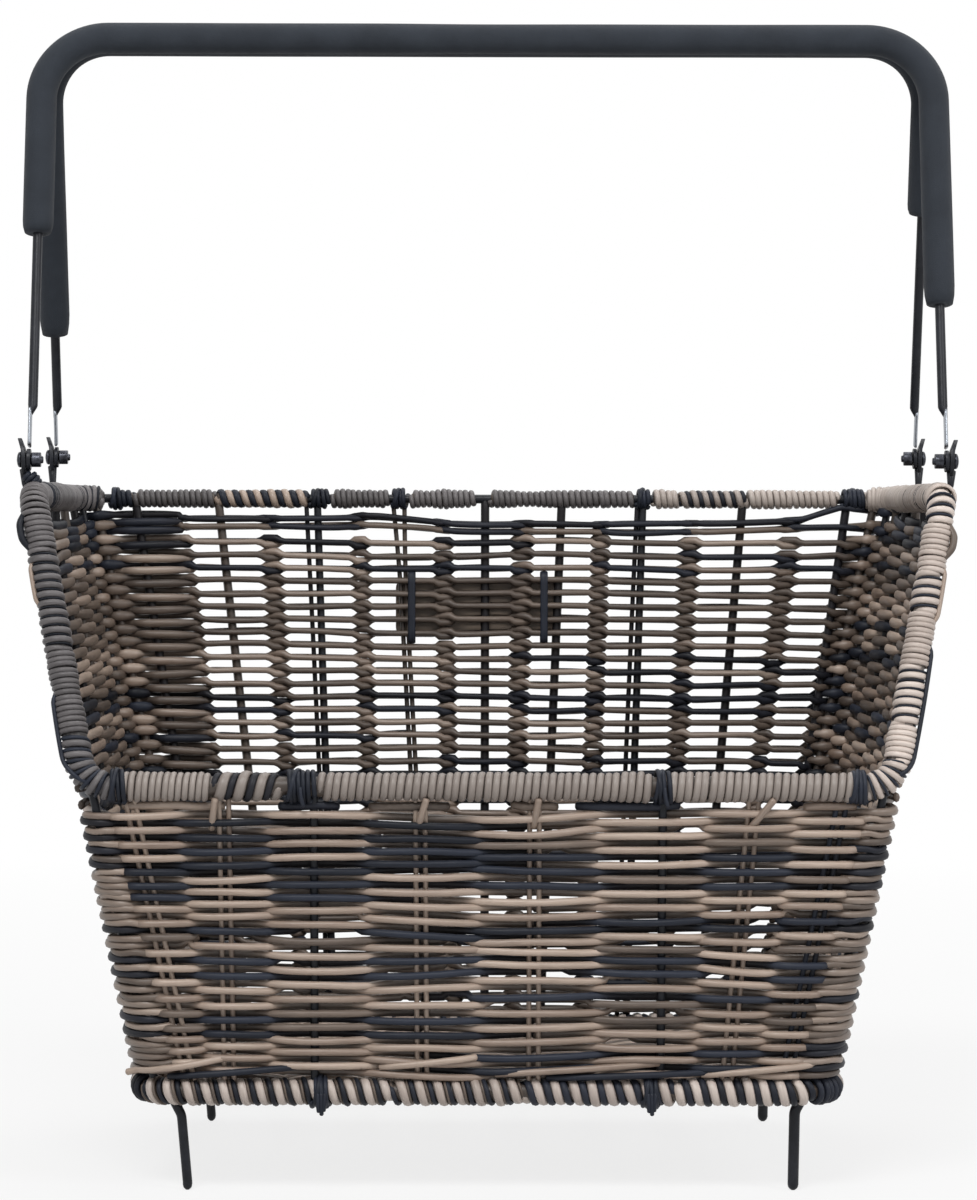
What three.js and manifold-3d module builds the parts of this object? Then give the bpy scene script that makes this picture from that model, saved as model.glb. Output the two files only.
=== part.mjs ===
// A wicker bicycle basket: low in front, tall at the back, with two swinging handles.
// Millimetres, +Z up, front towards -Y, the ground under the pins at z = 0.
import * as THREE from 'three';
import { mergeVertices } from 'three/addons/utils/BufferGeometryUtils.js';
import Module from 'manifold-3d';

const wasm = await Module();
wasm.setup();

// Clearances
const seatGap = 0.3;              // between pieces that touch on the real basket
const runningGap = 0.3;           // round a bolt that a handle turns on

// Basket outline, on the centres of the frame wires
const overallDepth = 296;         // over the ties of the front and back rims
const bottomWidth = 349;
const bottomDepth = 240;
const bottomHeight = 51.5;        // of the bottom wire over the ground
const bottomCorner = 25;
const frontRimWidth = 404;
const frontRimHeight = 207;
const frontCorner = 17;
const shoulderWidth = 462;
const shoulderHeight = 351;
const shoulderSetback = 46;       // of the shoulder behind the front rim
const shoulderBend = 15;
const backRimHeight = 345.5;
const backCorner = 16;
const wrapLead = 3;               // of a side wrap along the front and the back, under the corner tie
const bendSteps = 6;

// Frame wires and the strands wound on them
const frameWireDiameter = 5;
const rimWrapDiameter = 15;
const backWrapDiameter = 11;
const bottomWrapDiameter = 15.6;
const wireSides = 6;
const wrapSides = 10;
const roomSides = 8;              // of the room that a piece is given in its neighbours

// Walls, with a rib for each row of strands and a groove between rows
const wallInside = 3.5;           // from the middle of the posts to the inner face of the rows
const wallOutside = 5;            // from there to the outer face of the rows
const grooveCover = 0.3;          // of a groove over the room of a post
const firstRowHeight = 62.1;
const rowPitch = 7.2;
const sideBulge = 8;
const bulgeRise = 1.3;            // a higher value bulges a side wall nearer its rim
const backWeaveGap = 8;           // open stretch under the back rim
const cornerSteps = 1;            // of half a corner of a wall
const sideWallColumns = 4;
const floorThickness = 6;
const floorUndersideDrop = 1;     // of the floor's underside under the bottom wire

// Posts of the frame
const postDiameter = 4;
const frontPostSpacing = 174;
const backPostSpacing = 181;
const postSides = 8;

// Ties
const tieStrand = 2.2;
const tiePitch = 2.7;
const tieTurns = 2;
const tieStepsPerTurn = 12;
const tieSides = 5;
const cornerTieSpacing = 369;
const bottomTieSpacing = 168;
const backOuterTieSpacing = 413;
const middleTieX = -49;

// Carrier hooks
const hookDiameter = 4.6;
const hookBarSpacing = 320;
const hookKneeSpacing = 309.6;
const hookTipSpacing = 303.6;
const hookKneeHeight = 38;
const hookTipStraight = 4;
const hookElbowRadius = 4.6;
const hookElbowSteps = 3;
const hookSides = 8;

// Handles
const hingeSpacing = 156;
const hingeHeight = 369;
const handleWidth = 466;
const handleReach = 231;          // from the hinge to the middle of the grip
const handleWireDiameter = 5;
const handleWireSides = 8;
const handleCorner = 34;
const gripDiameter = 16;
const gripEndHeight = 104;        // from the hinge to a sleeve's lower ends, before it slips
const frontGripSlip = 19;         // towards the right
const rearGripSlip = 34;          // towards the left
const tabThickness = 2;
const tabWidth = 8;
const tabTop = 28;
const tabOffset = 1.2;            // of the tab outwards from the wire
const tabLap = 8;                 // of the wire on the tab

// Hinges
const earThickness = 2.2;
const earRadius = 5.5;
const earPoint = 11;
const earDrop = 8;
const earShoulder = 3.9;          // half the ear's width under its point
const earShoulderHeight = 5.5;    // over the bolt
const stemDiameter = 4;
const stemRise = 6;               // of the stem's bend over the frame wire
const boltDiameter = 3.8;
const boltHeadDiameter = 8;
const boltHeadHeight = 2.4;
const boltRimHeight = 1;          // of the straight edge of the head
const boltCrownDiameter = 5.4;
const boltCrownHeight = 2;
const boltTail = 1;
const nutAcrossCorners = 8.6;
const nutHeight = 4.8;
const roundSides = 12;

// Badge plate on the back wall
const plateWidth = 92;
const plateHeight = 32;
const plateThickness = 2;
const plateCentreX = -4;
const plateCentreHeight = 285;
const plateCorner = 5;
const plateCornerSteps = 4;
const strapWidth = 6;
const strapThickness = 1.2;
const strapSpacing = 74;
const strapLap = 5;               // of a strap over the plate's upper and lower edge

// Materials
const finishes = {
  steel: { color: 0x1b1d22, roughness: 0.4, metalness: 0.6 },
  zinc: { color: 0x2a2d33, roughness: 0.35, metalness: 0.8 },
  foam: { color: 0x32383f, roughness: 0.9, metalness: 0 },
  tanStrand: { color: 0x9a8271, roughness: 0.6, metalness: 0 },
  greyStrand: { color: 0x6e6258, roughness: 0.6, metalness: 0 },
  blackStrand: { color: 0x22242b, roughness: 0.5, metalness: 0 },
  plate: { color: 0x5c4c3f, roughness: 0.6, metalness: 0 },
};

const rimRadius = rimWrapDiameter / 2;
const backRadius = backWrapDiameter / 2;
const bottomRadius = bottomWrapDiameter / 2;
const postRadius = postDiameter / 2;
const frameRadius = frameWireDiameter / 2;
const frontTieReach = rimRadius + seatGap + tieStrand;
const backTieReach = backRadius + seatGap + tieStrand;
const frontY = -overallDepth / 2 + frontTieReach;
const backY = overallDepth / 2 - backTieReach;

const weldDistance = 1e-4;        // vertices nearer than this are one
const endMargin = 1e-9;           // keeps the end of a route inside its last step
const hexagonSides = 6;
const tabSteps = 8;
const earSteps = 10;

const point = (x, y, z) => new THREE.Vector3(x, y, z);
const mirrored = (p) => point(-p.x, p.y, p.z);

// A route through stations, which sweeps keep as their own steps.
class Route extends THREE.Curve {
  constructor(stations) {
    super();
    this.stations = stations;
  }

  getPoint(t, target = new THREE.Vector3()) {
    const last = this.stations.length - 1;
    const at = Math.min(t * last, last - endMargin);
    const index = Math.max(Math.floor(at), 0);
    return target.lerpVectors(this.stations[index], this.stations[index + 1], at - index);
  }

  getPointAt(u, target) {
    return this.getPoint(u, target);
  }

  getTangentAt(u, target = new THREE.Vector3()) {
    const last = this.stations.length - 1;
    const index = Math.round(u * last);
    const before = this.stations[Math.max(index - 1, 0)];
    const here = this.stations[index];
    const after = this.stations[Math.min(index + 1, last)];
    const arriving = here.clone().sub(before).normalize();
    const leaving = after.clone().sub(here).normalize();
    return target.addVectors(arriving, leaving).normalize();
  }
}

// The stations of a bend of one radius at the middle of three corners.
function bend(from, corner, to, radius, steps = bendSteps) {
  const back = from.clone().sub(corner).normalize();
  const ahead = to.clone().sub(corner).normalize();
  const half = back.angleTo(ahead) / 2;
  const centre = back.clone().add(ahead).normalize().multiplyScalar(radius / Math.sin(half)).add(corner);
  const start = corner.clone().addScaledVector(back, radius / Math.tan(half)).sub(centre);
  const end = corner.clone().addScaledVector(ahead, radius / Math.tan(half)).sub(centre);
  const turn = start.angleTo(end);
  const stations = [];
  for (let i = 0; i <= steps; i += 1) {
    const share = i / steps;
    const arm = start.clone().multiplyScalar(Math.sin((1 - share) * turn));
    arm.addScaledVector(end, Math.sin(share * turn)).divideScalar(Math.sin(turn));
    stations.push(arm.add(centre));
  }
  return stations;
}

// A regular outline; a bore's or a cutter's flats lie on the circle, and a wire's corners do.
function outline(radius, sides, flatsOnCircle = false) {
  const reach = flatsOnCircle ? radius / Math.cos(Math.PI / sides) : radius;
  const corners = [];
  for (let i = 0; i < sides; i += 1) {
    const angle = (i / sides) * 2 * Math.PI;
    corners.push(new THREE.Vector2(reach * Math.cos(angle), reach * Math.sin(angle)));
  }
  return corners;
}

function sweep(stations, radius, sides, boreRadius = 0, flatsOnCircle = false) {
  const section = new THREE.Shape(outline(radius, sides, flatsOnCircle));
  if (boreRadius > 0) {
    section.holes.push(new THREE.Path(outline(boreRadius, wireSides, true)));
  }
  return new THREE.ExtrudeGeometry(section, { steps: stations.length - 1, extrudePath: new Route(stations) });
}

const cutter = (stations, radius) => sweep(stations, radius, roomSides, 0, true);

function toSolid(geometry) {
  const bare = geometry.clone();
  bare.deleteAttribute('normal');
  bare.deleteAttribute('uv');
  const merged = mergeVertices(bare, weldDistance);
  return new wasm.Manifold(new wasm.Mesh({
    numProp: 3,
    vertProperties: Float32Array.from(merged.attributes.position.array),
    triVerts: Uint32Array.from(merged.index.array),
  }));
}

function toGeometry(solid) {
  const mesh = solid.getMesh();
  const geometry = new THREE.BufferGeometry();
  geometry.setAttribute('position', new THREE.BufferAttribute(mesh.vertProperties, 3));
  geometry.setIndex(new THREE.BufferAttribute(mesh.triVerts, 1));
  const flat = geometry.toNonIndexed();
  flat.computeVertexNormals();
  return flat;
}

const joined = (...shapes) => toGeometry(shapes.map(toSolid).reduce((whole, next) => whole.add(next)));

function cut(geometry, ...cutters) {
  return toGeometry(cutters.map(toSolid).reduce((rest, next) => rest.subtract(next), toSolid(geometry)));
}

const basket = new THREE.Group();

function piece(name, geometry, finish, parent = basket) {
  const mesh = new THREE.Mesh(geometry, new THREE.MeshStandardMaterial(finishes[finish]));
  mesh.name = name;
  parent.add(mesh);
  return mesh;
}

// Routes of the frame wires, for the right side; the left is its mirror image
const frontRimCorner = point(frontRimWidth / 2, frontY, frontRimHeight);
const shoulder = point(shoulderWidth / 2, frontY + shoulderSetback, shoulderHeight);
const backRimCorner = point(shoulderWidth / 2, backY, backRimHeight);
const bottomFrontCorner = point(bottomWidth / 2, -bottomDepth / 2, bottomHeight);
const bottomBackCorner = point(bottomWidth / 2, bottomDepth / 2, bottomHeight);

const topFrontBend = bend(mirrored(frontRimCorner), frontRimCorner, shoulder, frontCorner);
const topShoulderBend = bend(frontRimCorner, shoulder, backRimCorner, shoulderBend);
const topBackBend = bend(shoulder, backRimCorner, mirrored(backRimCorner), backCorner);
const bottomFrontBend = bend(mirrored(bottomFrontCorner), bottomFrontCorner, bottomBackCorner, bottomCorner);
const bottomBackBend = bend(bottomFrontCorner, bottomBackCorner, mirrored(bottomBackCorner), bottomCorner);

// A side's stations, with a short lead towards the middle at each end
function sideOf(...bends) {
  const stations = bends.flat();
  const inwards = (station) => station.clone().setX(station.x - wrapLead);
  return [inwards(stations[0]), ...stations, inwards(stations[stations.length - 1])];
}

const topSide = sideOf(topFrontBend, topShoulderBend, topBackBend);
const bottomSide = sideOf(bottomFrontBend, bottomBackBend);
const leftOf = (stations) => stations.map(mirrored).reverse();

// A ring through both sides, open by the seat gap at the weld in the middle of its back
function ring(side) {
  const end = side[side.length - 1];
  const weldRight = point(seatGap / 2, end.y, end.z);
  return [mirrored(weldRight), ...leftOf(side), ...side, weldRight];
}

const topRing = ring(topSide);
const bottomRing = ring(bottomSide);

function frameWires() {
  piece('top_frame_wire', sweep(topRing, frameRadius, wireSides), 'steel');
  piece('bottom_frame_wire', sweep(bottomRing, frameRadius, wireSides), 'steel');
}

// Moves the ends of a route apart from their neighbours by half a seat gap
function trimmed(stations) {
  const result = stations.map((station) => station.clone());
  const last = result.length - 1;
  const first = result[1].clone().sub(result[0]).normalize();
  const final = result[last - 1].clone().sub(result[last]).normalize();
  result[0].addScaledVector(first, seatGap / 2);
  result[last].addScaledVector(final, seatGap / 2);
  return result;
}

const acrossFront = (side) => [mirrored(side[0]), side[0]];
const acrossBack = (side) => [side[side.length - 1], mirrored(side[side.length - 1])];

const wrapBore = frameRadius + seatGap;
const wrap = (stations, radius) => sweep(trimmed(stations), radius, wrapSides, wrapBore);

// Hinge places
const tabX = handleWidth / 2 + tabOffset;
const earX = tabX + tabThickness / 2 + seatGap;
const stemX = earX + earThickness / 2;
const hingeYs = { front: -hingeSpacing / 2, rear: hingeSpacing / 2 };

function wirePointAtY(stations, y) {
  for (let i = 0; i + 1 < stations.length; i += 1) {
    const [a, b] = [stations[i], stations[i + 1]];
    if (a.y <= y && y < b.y) {
      return a.clone().lerp(b, (y - a.y) / (b.y - a.y));
    }
  }
  return stations[stations.length - 1].clone();
}

// The bent stem of an ear, from the frame wire up to the plate
function stemStations(y) {
  const root = wirePointAtY(topSide, y);
  return [
    point(root.x, y, root.z),
    point(root.x, y, root.z + stemRise),
    point(stemX, y, hingeHeight - earDrop),
    point(stemX, y, hingeHeight - earDrop + stemDiameter / 2),
  ];
}

function wraps() {
  const stemHoles = Object.values(hingeYs).map((y) => cutter(stemStations(y), stemDiameter / 2 + seatGap));
  const rightSide = cut(wrap(topSide, rimRadius), ...stemHoles);
  piece('rim_wrap_front', wrap(acrossFront(topSide), rimRadius), 'tanStrand');
  piece('rim_wrap_back', wrap(acrossBack(topSide), backRadius), 'greyStrand');
  piece('rim_wrap_right', rightSide, 'tanStrand');
  piece('rim_wrap_left', mirrorGeometry(rightSide), 'greyStrand');
  piece('bottom_wrap_front', wrap(acrossFront(bottomSide), bottomRadius), 'tanStrand');
  piece('bottom_wrap_back', wrap(acrossBack(bottomSide), bottomRadius), 'tanStrand');
  piece('bottom_wrap_right', wrap(bottomSide, bottomRadius), 'tanStrand');
  piece('bottom_wrap_left', wrap(leftOf(bottomSide), bottomRadius), 'tanStrand');
}

// The mirror image in X, with its faces turned back outwards
function mirrorGeometry(geometry) {
  const flat = geometry.index ? geometry.toNonIndexed() : geometry.clone();
  const position = flat.attributes.position;
  for (let i = 0; i < position.count; i += 3) {
    const corners = [i, i + 2, i + 1].map((k) => [-position.getX(k), position.getY(k), position.getZ(k)]);
    corners.forEach((corner, k) => position.setXYZ(i + k, ...corner));
  }
  flat.computeVertexNormals();
  return flat;
}

// Wall surface: straight lines from the bottom wire to the top wire, bulged at the sides
const stationAt = (stations, share) => new Route(stations).getPoint(share);

function sideColumn(share) {
  const bottom = bottomFrontBend[bendSteps].clone().lerp(bottomBackBend[0], share);
  const start = topFrontBend[bendSteps].y;
  const end = topBackBend[0].y;
  const top = wirePointAtY(topSide, start + (end - start) * share);
  return { bottom, top, bulge: sideBulge * Math.sin(Math.PI * share) };
}

const middleOf = (stations) => stationAt(stations, 0.5);

// The upright edge of a wall beside a corner post, on the side that the given sign picks
function edgeColumn(bottomBend, topBend, sign) {
  const along = stationAt(bottomBend, 1).sub(stationAt(bottomBend, 0)).setZ(0).normalize();
  const shift = along.multiplyScalar(sign * (postRadius + seatGap));
  return { bottom: middleOf(bottomBend).add(shift), top: middleOf(topBend).add(shift), bulge: 0 };
}

// The columns of half a corner, from its post to the wall before it or after it
function halfCorner(bottomBend, topBend, sign) {
  const columns = [edgeColumn(bottomBend, topBend, sign)];
  for (let i = 1; i <= cornerSteps; i += 1) {
    const share = 0.5 + sign * (i / cornerSteps) / 2;
    columns.push({ bottom: stationAt(bottomBend, share), top: stationAt(topBend, share), bulge: 0 });
  }
  return columns;
}

// Where a wall leans out most, as a share of its height, and a curve that is 1 there
const bulgePeak = bulgeRise / (bulgeRise + 0.5);
const bulgeCurve = (v) => v ** bulgeRise * Math.sqrt(1 - v);
const bulgeShape = (v) => bulgeCurve(v) / bulgeCurve(bulgePeak);

// Heights up a wall, with how far its faces stand off the middle of the posts there
const groove = postRadius + seatGap + grooveCover;
const wallFoot = bottomHeight + bottomRadius + seatGap;

function wallLevels(top) {
  const levels = [{ height: wallFoot, outside: groove, inside: groove }];
  for (let height = firstRowHeight; height < top; height += rowPitch) {
    levels.push({ height, outside: wallOutside, inside: wallInside });
    levels.push({ height: Math.min(height + rowPitch / 2, top), outside: groove, inside: groove });
  }
  return levels;
}

// A closed ribbed slab on the surface that a row of columns spans
function ribbedSlab(columns, levels) {
  const width = columns.length;
  const rows = levels.length;
  const outer = [];
  const inner = [];
  columns.forEach((column, i) => {
    const before = columns[Math.max(i - 1, 0)].bottom;
    const after = columns[Math.min(i + 1, width - 1)].bottom;
    const outward = point(after.y - before.y, before.x - after.x, 0).normalize();
    for (const { height, outside, inside } of levels) {
      const v = (height - column.bottom.z) / (column.top.z - column.bottom.z);
      const middle = column.bottom.clone().lerp(column.top, v);
      middle.addScaledVector(outward, column.bulge * bulgeShape(Math.min(v, 1)));
      outer.push(middle.clone().addScaledVector(outward, outside));
      inner.push(middle.clone().addScaledVector(outward, -inside));
    }
  });
  const corners = [];
  const quad = (a, b, c, d) => corners.push(a, b, c, a, c, d);
  for (let i = 0; i + 1 < width; i += 1) {
    const [low, lowNext] = [i * rows, (i + 1) * rows];
    const [high, highNext] = [low + rows - 1, lowNext + rows - 1];
    quad(inner[low], inner[lowNext], outer[lowNext], outer[low]);
    quad(outer[high], outer[highNext], inner[highNext], inner[high]);
    for (let k = low; k < high; k += 1) {
      quad(outer[k], outer[k + rows], outer[k + rows + 1], outer[k + 1]);
      quad(inner[k], inner[k + 1], inner[k + rows + 1], inner[k + rows]);
    }
  }
  for (let j = 0; j + 1 < rows; j += 1) {
    const end = (width - 1) * rows + j;
    quad(inner[j], outer[j], outer[j + 1], inner[j + 1]);
    quad(outer[end], inner[end], inner[end + 1], outer[end + 1]);
  }
  return new THREE.BufferGeometry().setFromPoints(corners);
}

const mirroredColumn = (column) => ({
  bottom: mirrored(column.bottom),
  top: mirrored(column.top),
  bulge: column.bulge,
});

// Columns go anticlockwise, seen from above
function frontColumns() {
  const corner = halfCorner(bottomFrontBend, topFrontBend, -1);
  return [...corner.map(mirroredColumn), ...corner.reverse()];
}

function rightColumns() {
  const side = [];
  for (let i = 0; i <= sideWallColumns; i += 1) {
    side.push(sideColumn(i / sideWallColumns));
  }
  return [
    ...halfCorner(bottomFrontBend, topFrontBend, 1).slice(0, -1),
    ...side,
    ...halfCorner(bottomBackBend, topBackBend, -1).reverse().slice(1),
  ];
}

function backColumns() {
  const corner = halfCorner(bottomBackBend, topBackBend, 1);
  return [...corner, ...corner.map(mirroredColumn).reverse()];
}

// Posts
function wallPostStations(spacing, bottomY, topY, topHeight) {
  return [point(spacing / 2, bottomY, bottomHeight), point(spacing / 2, topY, topHeight)];
}

const postRoutes = {
  corner_post_front_right: [bottomFrontBend, topFrontBend].map(middleOf),
  corner_post_back_right: [bottomBackBend, topBackBend].map(middleOf),
  front_post_right: wallPostStations(frontPostSpacing, -bottomDepth / 2, frontY, frontRimHeight),
  back_post_right: wallPostStations(backPostSpacing, bottomDepth / 2, backY, backRimHeight),
};

// Ties, each wound square to a straight stretch of a rim
const tiePlaces = {
  tie_front_corner: { x: cornerTieSpacing / 2, y: frontY, z: frontRimHeight, radius: rimRadius },
  tie_front_post: { x: frontPostSpacing / 2, y: frontY, z: frontRimHeight, radius: rimRadius },
  tie_bottom: { x: bottomTieSpacing / 2, y: -bottomDepth / 2, z: bottomHeight, radius: bottomRadius },
  tie_back_corner: { x: backOuterTieSpacing / 2, y: backY, z: backRimHeight, radius: backRadius },
  tie_back_post: { x: backPostSpacing / 2, y: backY, z: backRimHeight, radius: backRadius },
};
const middleTie = { x: middleTieX, y: backY, z: backRimHeight, radius: backRadius };

function tieStations({ x, y, z, radius }) {
  const reach = radius + seatGap + tieStrand / 2;
  const steps = tieTurns * tieStepsPerTurn;
  const stations = [];
  for (let i = 0; i <= steps; i += 1) {
    const turn = i / tieStepsPerTurn;
    const angle = turn * 2 * Math.PI + Math.PI / 2;
    const along = (turn - tieTurns / 2) * tiePitch;
    stations.push(point(x + along, y + reach * Math.cos(angle), z + reach * Math.sin(angle)));
  }
  const startWay = stations[0].clone().sub(stations[1]).normalize();
  const endWay = stations[steps].clone().sub(stations[steps - 1]).normalize();
  stations.unshift(stations[0].clone().addScaledVector(startWay, tieStrand));
  stations.push(stations[steps + 1].clone().addScaledVector(endWay, tieStrand));
  return stations;
}

function leastGap(stations, clearSteps, strand) {
  let least = Infinity;
  for (let i = 0; i < stations.length; i += 1) {
    for (let j = i + clearSteps; j < stations.length; j += 1) {
      least = Math.min(least, stations[i].distanceTo(stations[j]) - strand);
    }
  }
  return least;
}

// The room that a tie takes, for the cuts in the wall and the posts under it
function tieRoom({ x, y, z, radius }) {
  const half = ((tieTurns + 1) * tiePitch) / 2 + seatGap;
  const reach = Math.hypot(radius + seatGap + tieStrand / 2, tieStrand) + tieStrand / 2 + seatGap;
  return cutter([point(x - half, y, z), point(x + half, y, z)], reach);
}

const bothSides = (place) => [place, { ...place, x: -place.x }];
const allTiePlaces = [...Object.values(tiePlaces).flatMap(bothSides), middleTie];
const tieRooms = allTiePlaces.map(tieRoom);
const frontTieRooms = allTiePlaces.filter((place) => place.y < 0).map(tieRoom);

function ties() {
  for (const [name, place] of Object.entries(tiePlaces)) {
    const [right, left] = bothSides(place);
    piece(`${name}_right`, sweep(tieStations(right), tieStrand / 2, tieSides), 'blackStrand');
    piece(`${name}_left`, sweep(tieStations(left), tieStrand / 2, tieSides), 'blackStrand');
  }
  piece('tie_back_middle', sweep(tieStations(middleTie), tieStrand / 2, tieSides), 'blackStrand');
  const gap = leastGap(tieStations(middleTie), tieStepsPerTurn / 2, tieStrand);
  console.log(`least gap of a tie to itself: ${gap.toFixed(2)} mm`);
}

// Everything that a wall or a post stops at
function roomRound(side, frontRadius, backRadiusHere) {
  const stretched = ([a, b]) => [a.clone().addScaledVector(b.clone().sub(a).normalize(), -wrapLead),
    b.clone().addScaledVector(a.clone().sub(b).normalize(), -wrapLead)];
  return [
    cutter(side, frontRadius + seatGap),
    cutter(leftOf(side), frontRadius + seatGap),
    cutter(stretched(acrossFront(side)), frontRadius + seatGap),
    cutter(stretched(acrossBack(side)), backRadiusHere + seatGap),
  ];
}

const rimRoom = roomRound(topSide, rimRadius, backRadius);
const bottomRoom = roomRound(bottomSide, bottomRadius, bottomRadius);
const postRoom = (stations) => cutter(stations, postRadius + seatGap);

function posts() {
  for (const [name, stations] of Object.entries(postRoutes)) {
    const right = cut(sweep(stations, postRadius, postSides), ...rimRoom, ...bottomRoom, ...tieRooms);
    piece(name, right, 'steel');
    piece(name.replace('right', 'left'), mirrorGeometry(right), 'steel');
  }
}

// Everything over the rim of a side wall, seen from the side
function overRim() {
  const rim = [...topFrontBend, ...topShoulderBend, ...topBackBend];
  const beyond = overallDepth;
  const corners = [
    new THREE.Vector2(frontY - beyond, frontRimHeight),
    ...rim.map((station) => new THREE.Vector2(station.y, station.z)),
    new THREE.Vector2(backY + beyond, backRimHeight),
    new THREE.Vector2(backY + beyond, shoulderHeight + beyond),
    new THREE.Vector2(frontY - beyond, shoulderHeight + beyond),
  ];
  return sidePlate(new THREE.Shape(corners), 0, shoulderWidth);
}

function walls() {
  const wallPostRoom = (name) => [postRoom(postRoutes[name]), postRoom(postRoutes[name].map(mirrored))];
  const front = cut(ribbedSlab(frontColumns(), wallLevels(frontRimHeight)), ...rimRoom,
    ...wallPostRoom('front_post_right'), ...frontTieRooms);
  const right = cut(ribbedSlab(rightColumns(), wallLevels(shoulderHeight)), overRim(), ...rimRoom);
  const back = cut(ribbedSlab(backColumns(), wallLevels(backRimHeight - backRadius - backWeaveGap)),
    ...wallPostRoom('back_post_right'));
  piece('weave_front', front, 'tanStrand');
  piece('weave_right', right, 'greyStrand');
  piece('weave_left', mirrorGeometry(right), 'greyStrand');
  piece('weave_back', back, 'greyStrand');
}

function roundedShape(width, height, radius, steps = plateCornerSteps) {
  const corners = [];
  const centres = [[1, 1, 0], [-1, 1, 1], [-1, -1, 2], [1, -1, 3]];
  for (const [sx, sy, quarter] of centres) {
    for (let i = 0; i <= steps; i += 1) {
      const angle = (quarter + i / steps) * (Math.PI / 2);
      const x = sx * (width / 2 - radius) + radius * Math.cos(angle);
      const y = sy * (height / 2 - radius) + radius * Math.sin(angle);
      corners.push(new THREE.Vector2(x, y));
    }
  }
  return new THREE.Shape(corners);
}

const plain = (depth) => ({ depth, bevelEnabled: false });
const floorUnderside = bottomHeight - floorUndersideDrop;

function floor() {
  const inset = 2 * (bottomRadius + seatGap);
  const shape = roundedShape(bottomWidth - inset, bottomDepth - inset, bottomCorner - bottomRadius);
  const plate = new THREE.ExtrudeGeometry(shape, plain(floorThickness)).translate(0, 0, floorUnderside);
  piece('weave_floor', cut(plate, ...frontTieRooms), 'greyStrand');
}

function carrierHooks() {
  const y = bottomDepth / 2 - bottomRadius - hookDiameter / 2 - 2 * seatGap;
  const barHeight = floorUnderside - seatGap - hookDiameter / 2;
  const leg = (side) => [
    point(hookTipSpacing / 2, side * y, 0),
    point(hookTipSpacing / 2, side * y, hookTipStraight),
    point(hookKneeSpacing / 2, side * y, hookKneeHeight),
    point(hookBarSpacing / 2, side * y, barHeight),
  ];
  const turnIn = (legPoints, side) => {
    const barEnd = legPoints[3];
    const along = barEnd.clone().setY(0);
    return [...legPoints.slice(0, 3), ...bend(legPoints[2], barEnd, along, hookElbowRadius, hookElbowSteps)];
  };
  const stations = [...turnIn(leg(-1), -1), ...turnIn(leg(1), 1).reverse()];
  const right = sweep(stations, hookDiameter / 2, hookSides);
  piece('carrier_hook_right', right, 'steel');
  piece('carrier_hook_left', mirrorGeometry(right), 'steel');
}

// A flat part in the YZ plane, from x to x + thickness, on the hinge axis
function sidePlate(shape, x, thickness) {
  const geometry = new THREE.ExtrudeGeometry(shape, plain(thickness));
  geometry.applyMatrix4(new THREE.Matrix4().makeBasis(point(0, 1, 0), point(0, 0, 1), point(1, 0, 0)));
  return geometry.translate(x, 0, 0);
}

const boltHole = () => new THREE.Path(outline(boltDiameter / 2 + runningGap, roundSides, true));

function tabShape() {
  const corners = [];
  for (let i = 0; i <= tabSteps; i += 1) {
    const angle = Math.PI + (i / tabSteps) * Math.PI;
    corners.push(new THREE.Vector2((tabWidth / 2) * Math.cos(angle), (tabWidth / 2) * Math.sin(angle)));
  }
  const neck = handleWireDiameter / 2;
  corners.push(new THREE.Vector2(tabWidth / 2, tabTop - tabLap));
  corners.push(new THREE.Vector2(neck, tabTop));
  corners.push(new THREE.Vector2(-neck, tabTop));
  corners.push(new THREE.Vector2(-tabWidth / 2, tabTop - tabLap));
  const shape = new THREE.Shape(corners);
  shape.holes.push(boltHole());
  return shape;
}

function handleStations(lowLeft, lowRight) {
  const half = handleWidth / 2;
  const topLeft = point(-half, 0, handleReach);
  const topRight = point(half, 0, handleReach);
  const footLeft = point(-half, 0, lowLeft);
  const footRight = point(half, 0, lowRight);
  return [
    footLeft,
    ...bend(footLeft, topLeft, topRight, handleCorner),
    ...bend(topLeft, topRight, footRight, handleCorner),
    footRight,
  ];
}

function handle(name, y, lean, gripEnds) {
  const group = new THREE.Group();
  group.position.set(0, y, hingeHeight);
  group.rotation.x = lean;
  basket.add(group);
  const wireStart = tabTop - tabLap;
  const wire = sweep(handleStations(wireStart, wireStart), handleWireDiameter / 2, handleWireSides);
  const rightTab = sidePlate(tabShape(), tabX - tabThickness / 2, tabThickness);
  const bail = joined(wire, rightTab, mirrorGeometry(rightTab));
  piece(`${name}_bail`, bail, 'steel', group);
  const sleeve = sweep(handleStations(...gripEnds), gripDiameter / 2, wrapSides,
    handleWireDiameter / 2 + seatGap);
  piece(`${name}_grip`, sleeve, 'foam', group);
}

function handles() {
  const meeting = gripDiameter / 2 + seatGap / 2;
  const lean = Math.asin((hingeSpacing / 2 - meeting) / handleReach);
  handle('front', hingeYs.front, -lean, [gripEndHeight + frontGripSlip, gripEndHeight - frontGripSlip]);
  handle('rear', hingeYs.rear, lean, [gripEndHeight - rearGripSlip, gripEndHeight + rearGripSlip]);
}

function earShape() {
  const corners = [];
  for (let i = 0; i <= earSteps; i += 1) {
    const angle = Math.PI + (i / earSteps) * Math.PI;
    const drop = Math.sin(angle) < 0 ? earDrop / earRadius : 1;
    corners.push(new THREE.Vector2(earRadius * Math.cos(angle), earRadius * drop * Math.sin(angle)));
  }
  corners.push(new THREE.Vector2(earShoulder, earShoulderHeight));
  corners.push(new THREE.Vector2(0, earPoint));
  corners.push(new THREE.Vector2(-earShoulder, earShoulderHeight));
  const shape = new THREE.Shape(corners);
  shape.holes.push(boltHole());
  return shape;
}

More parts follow.
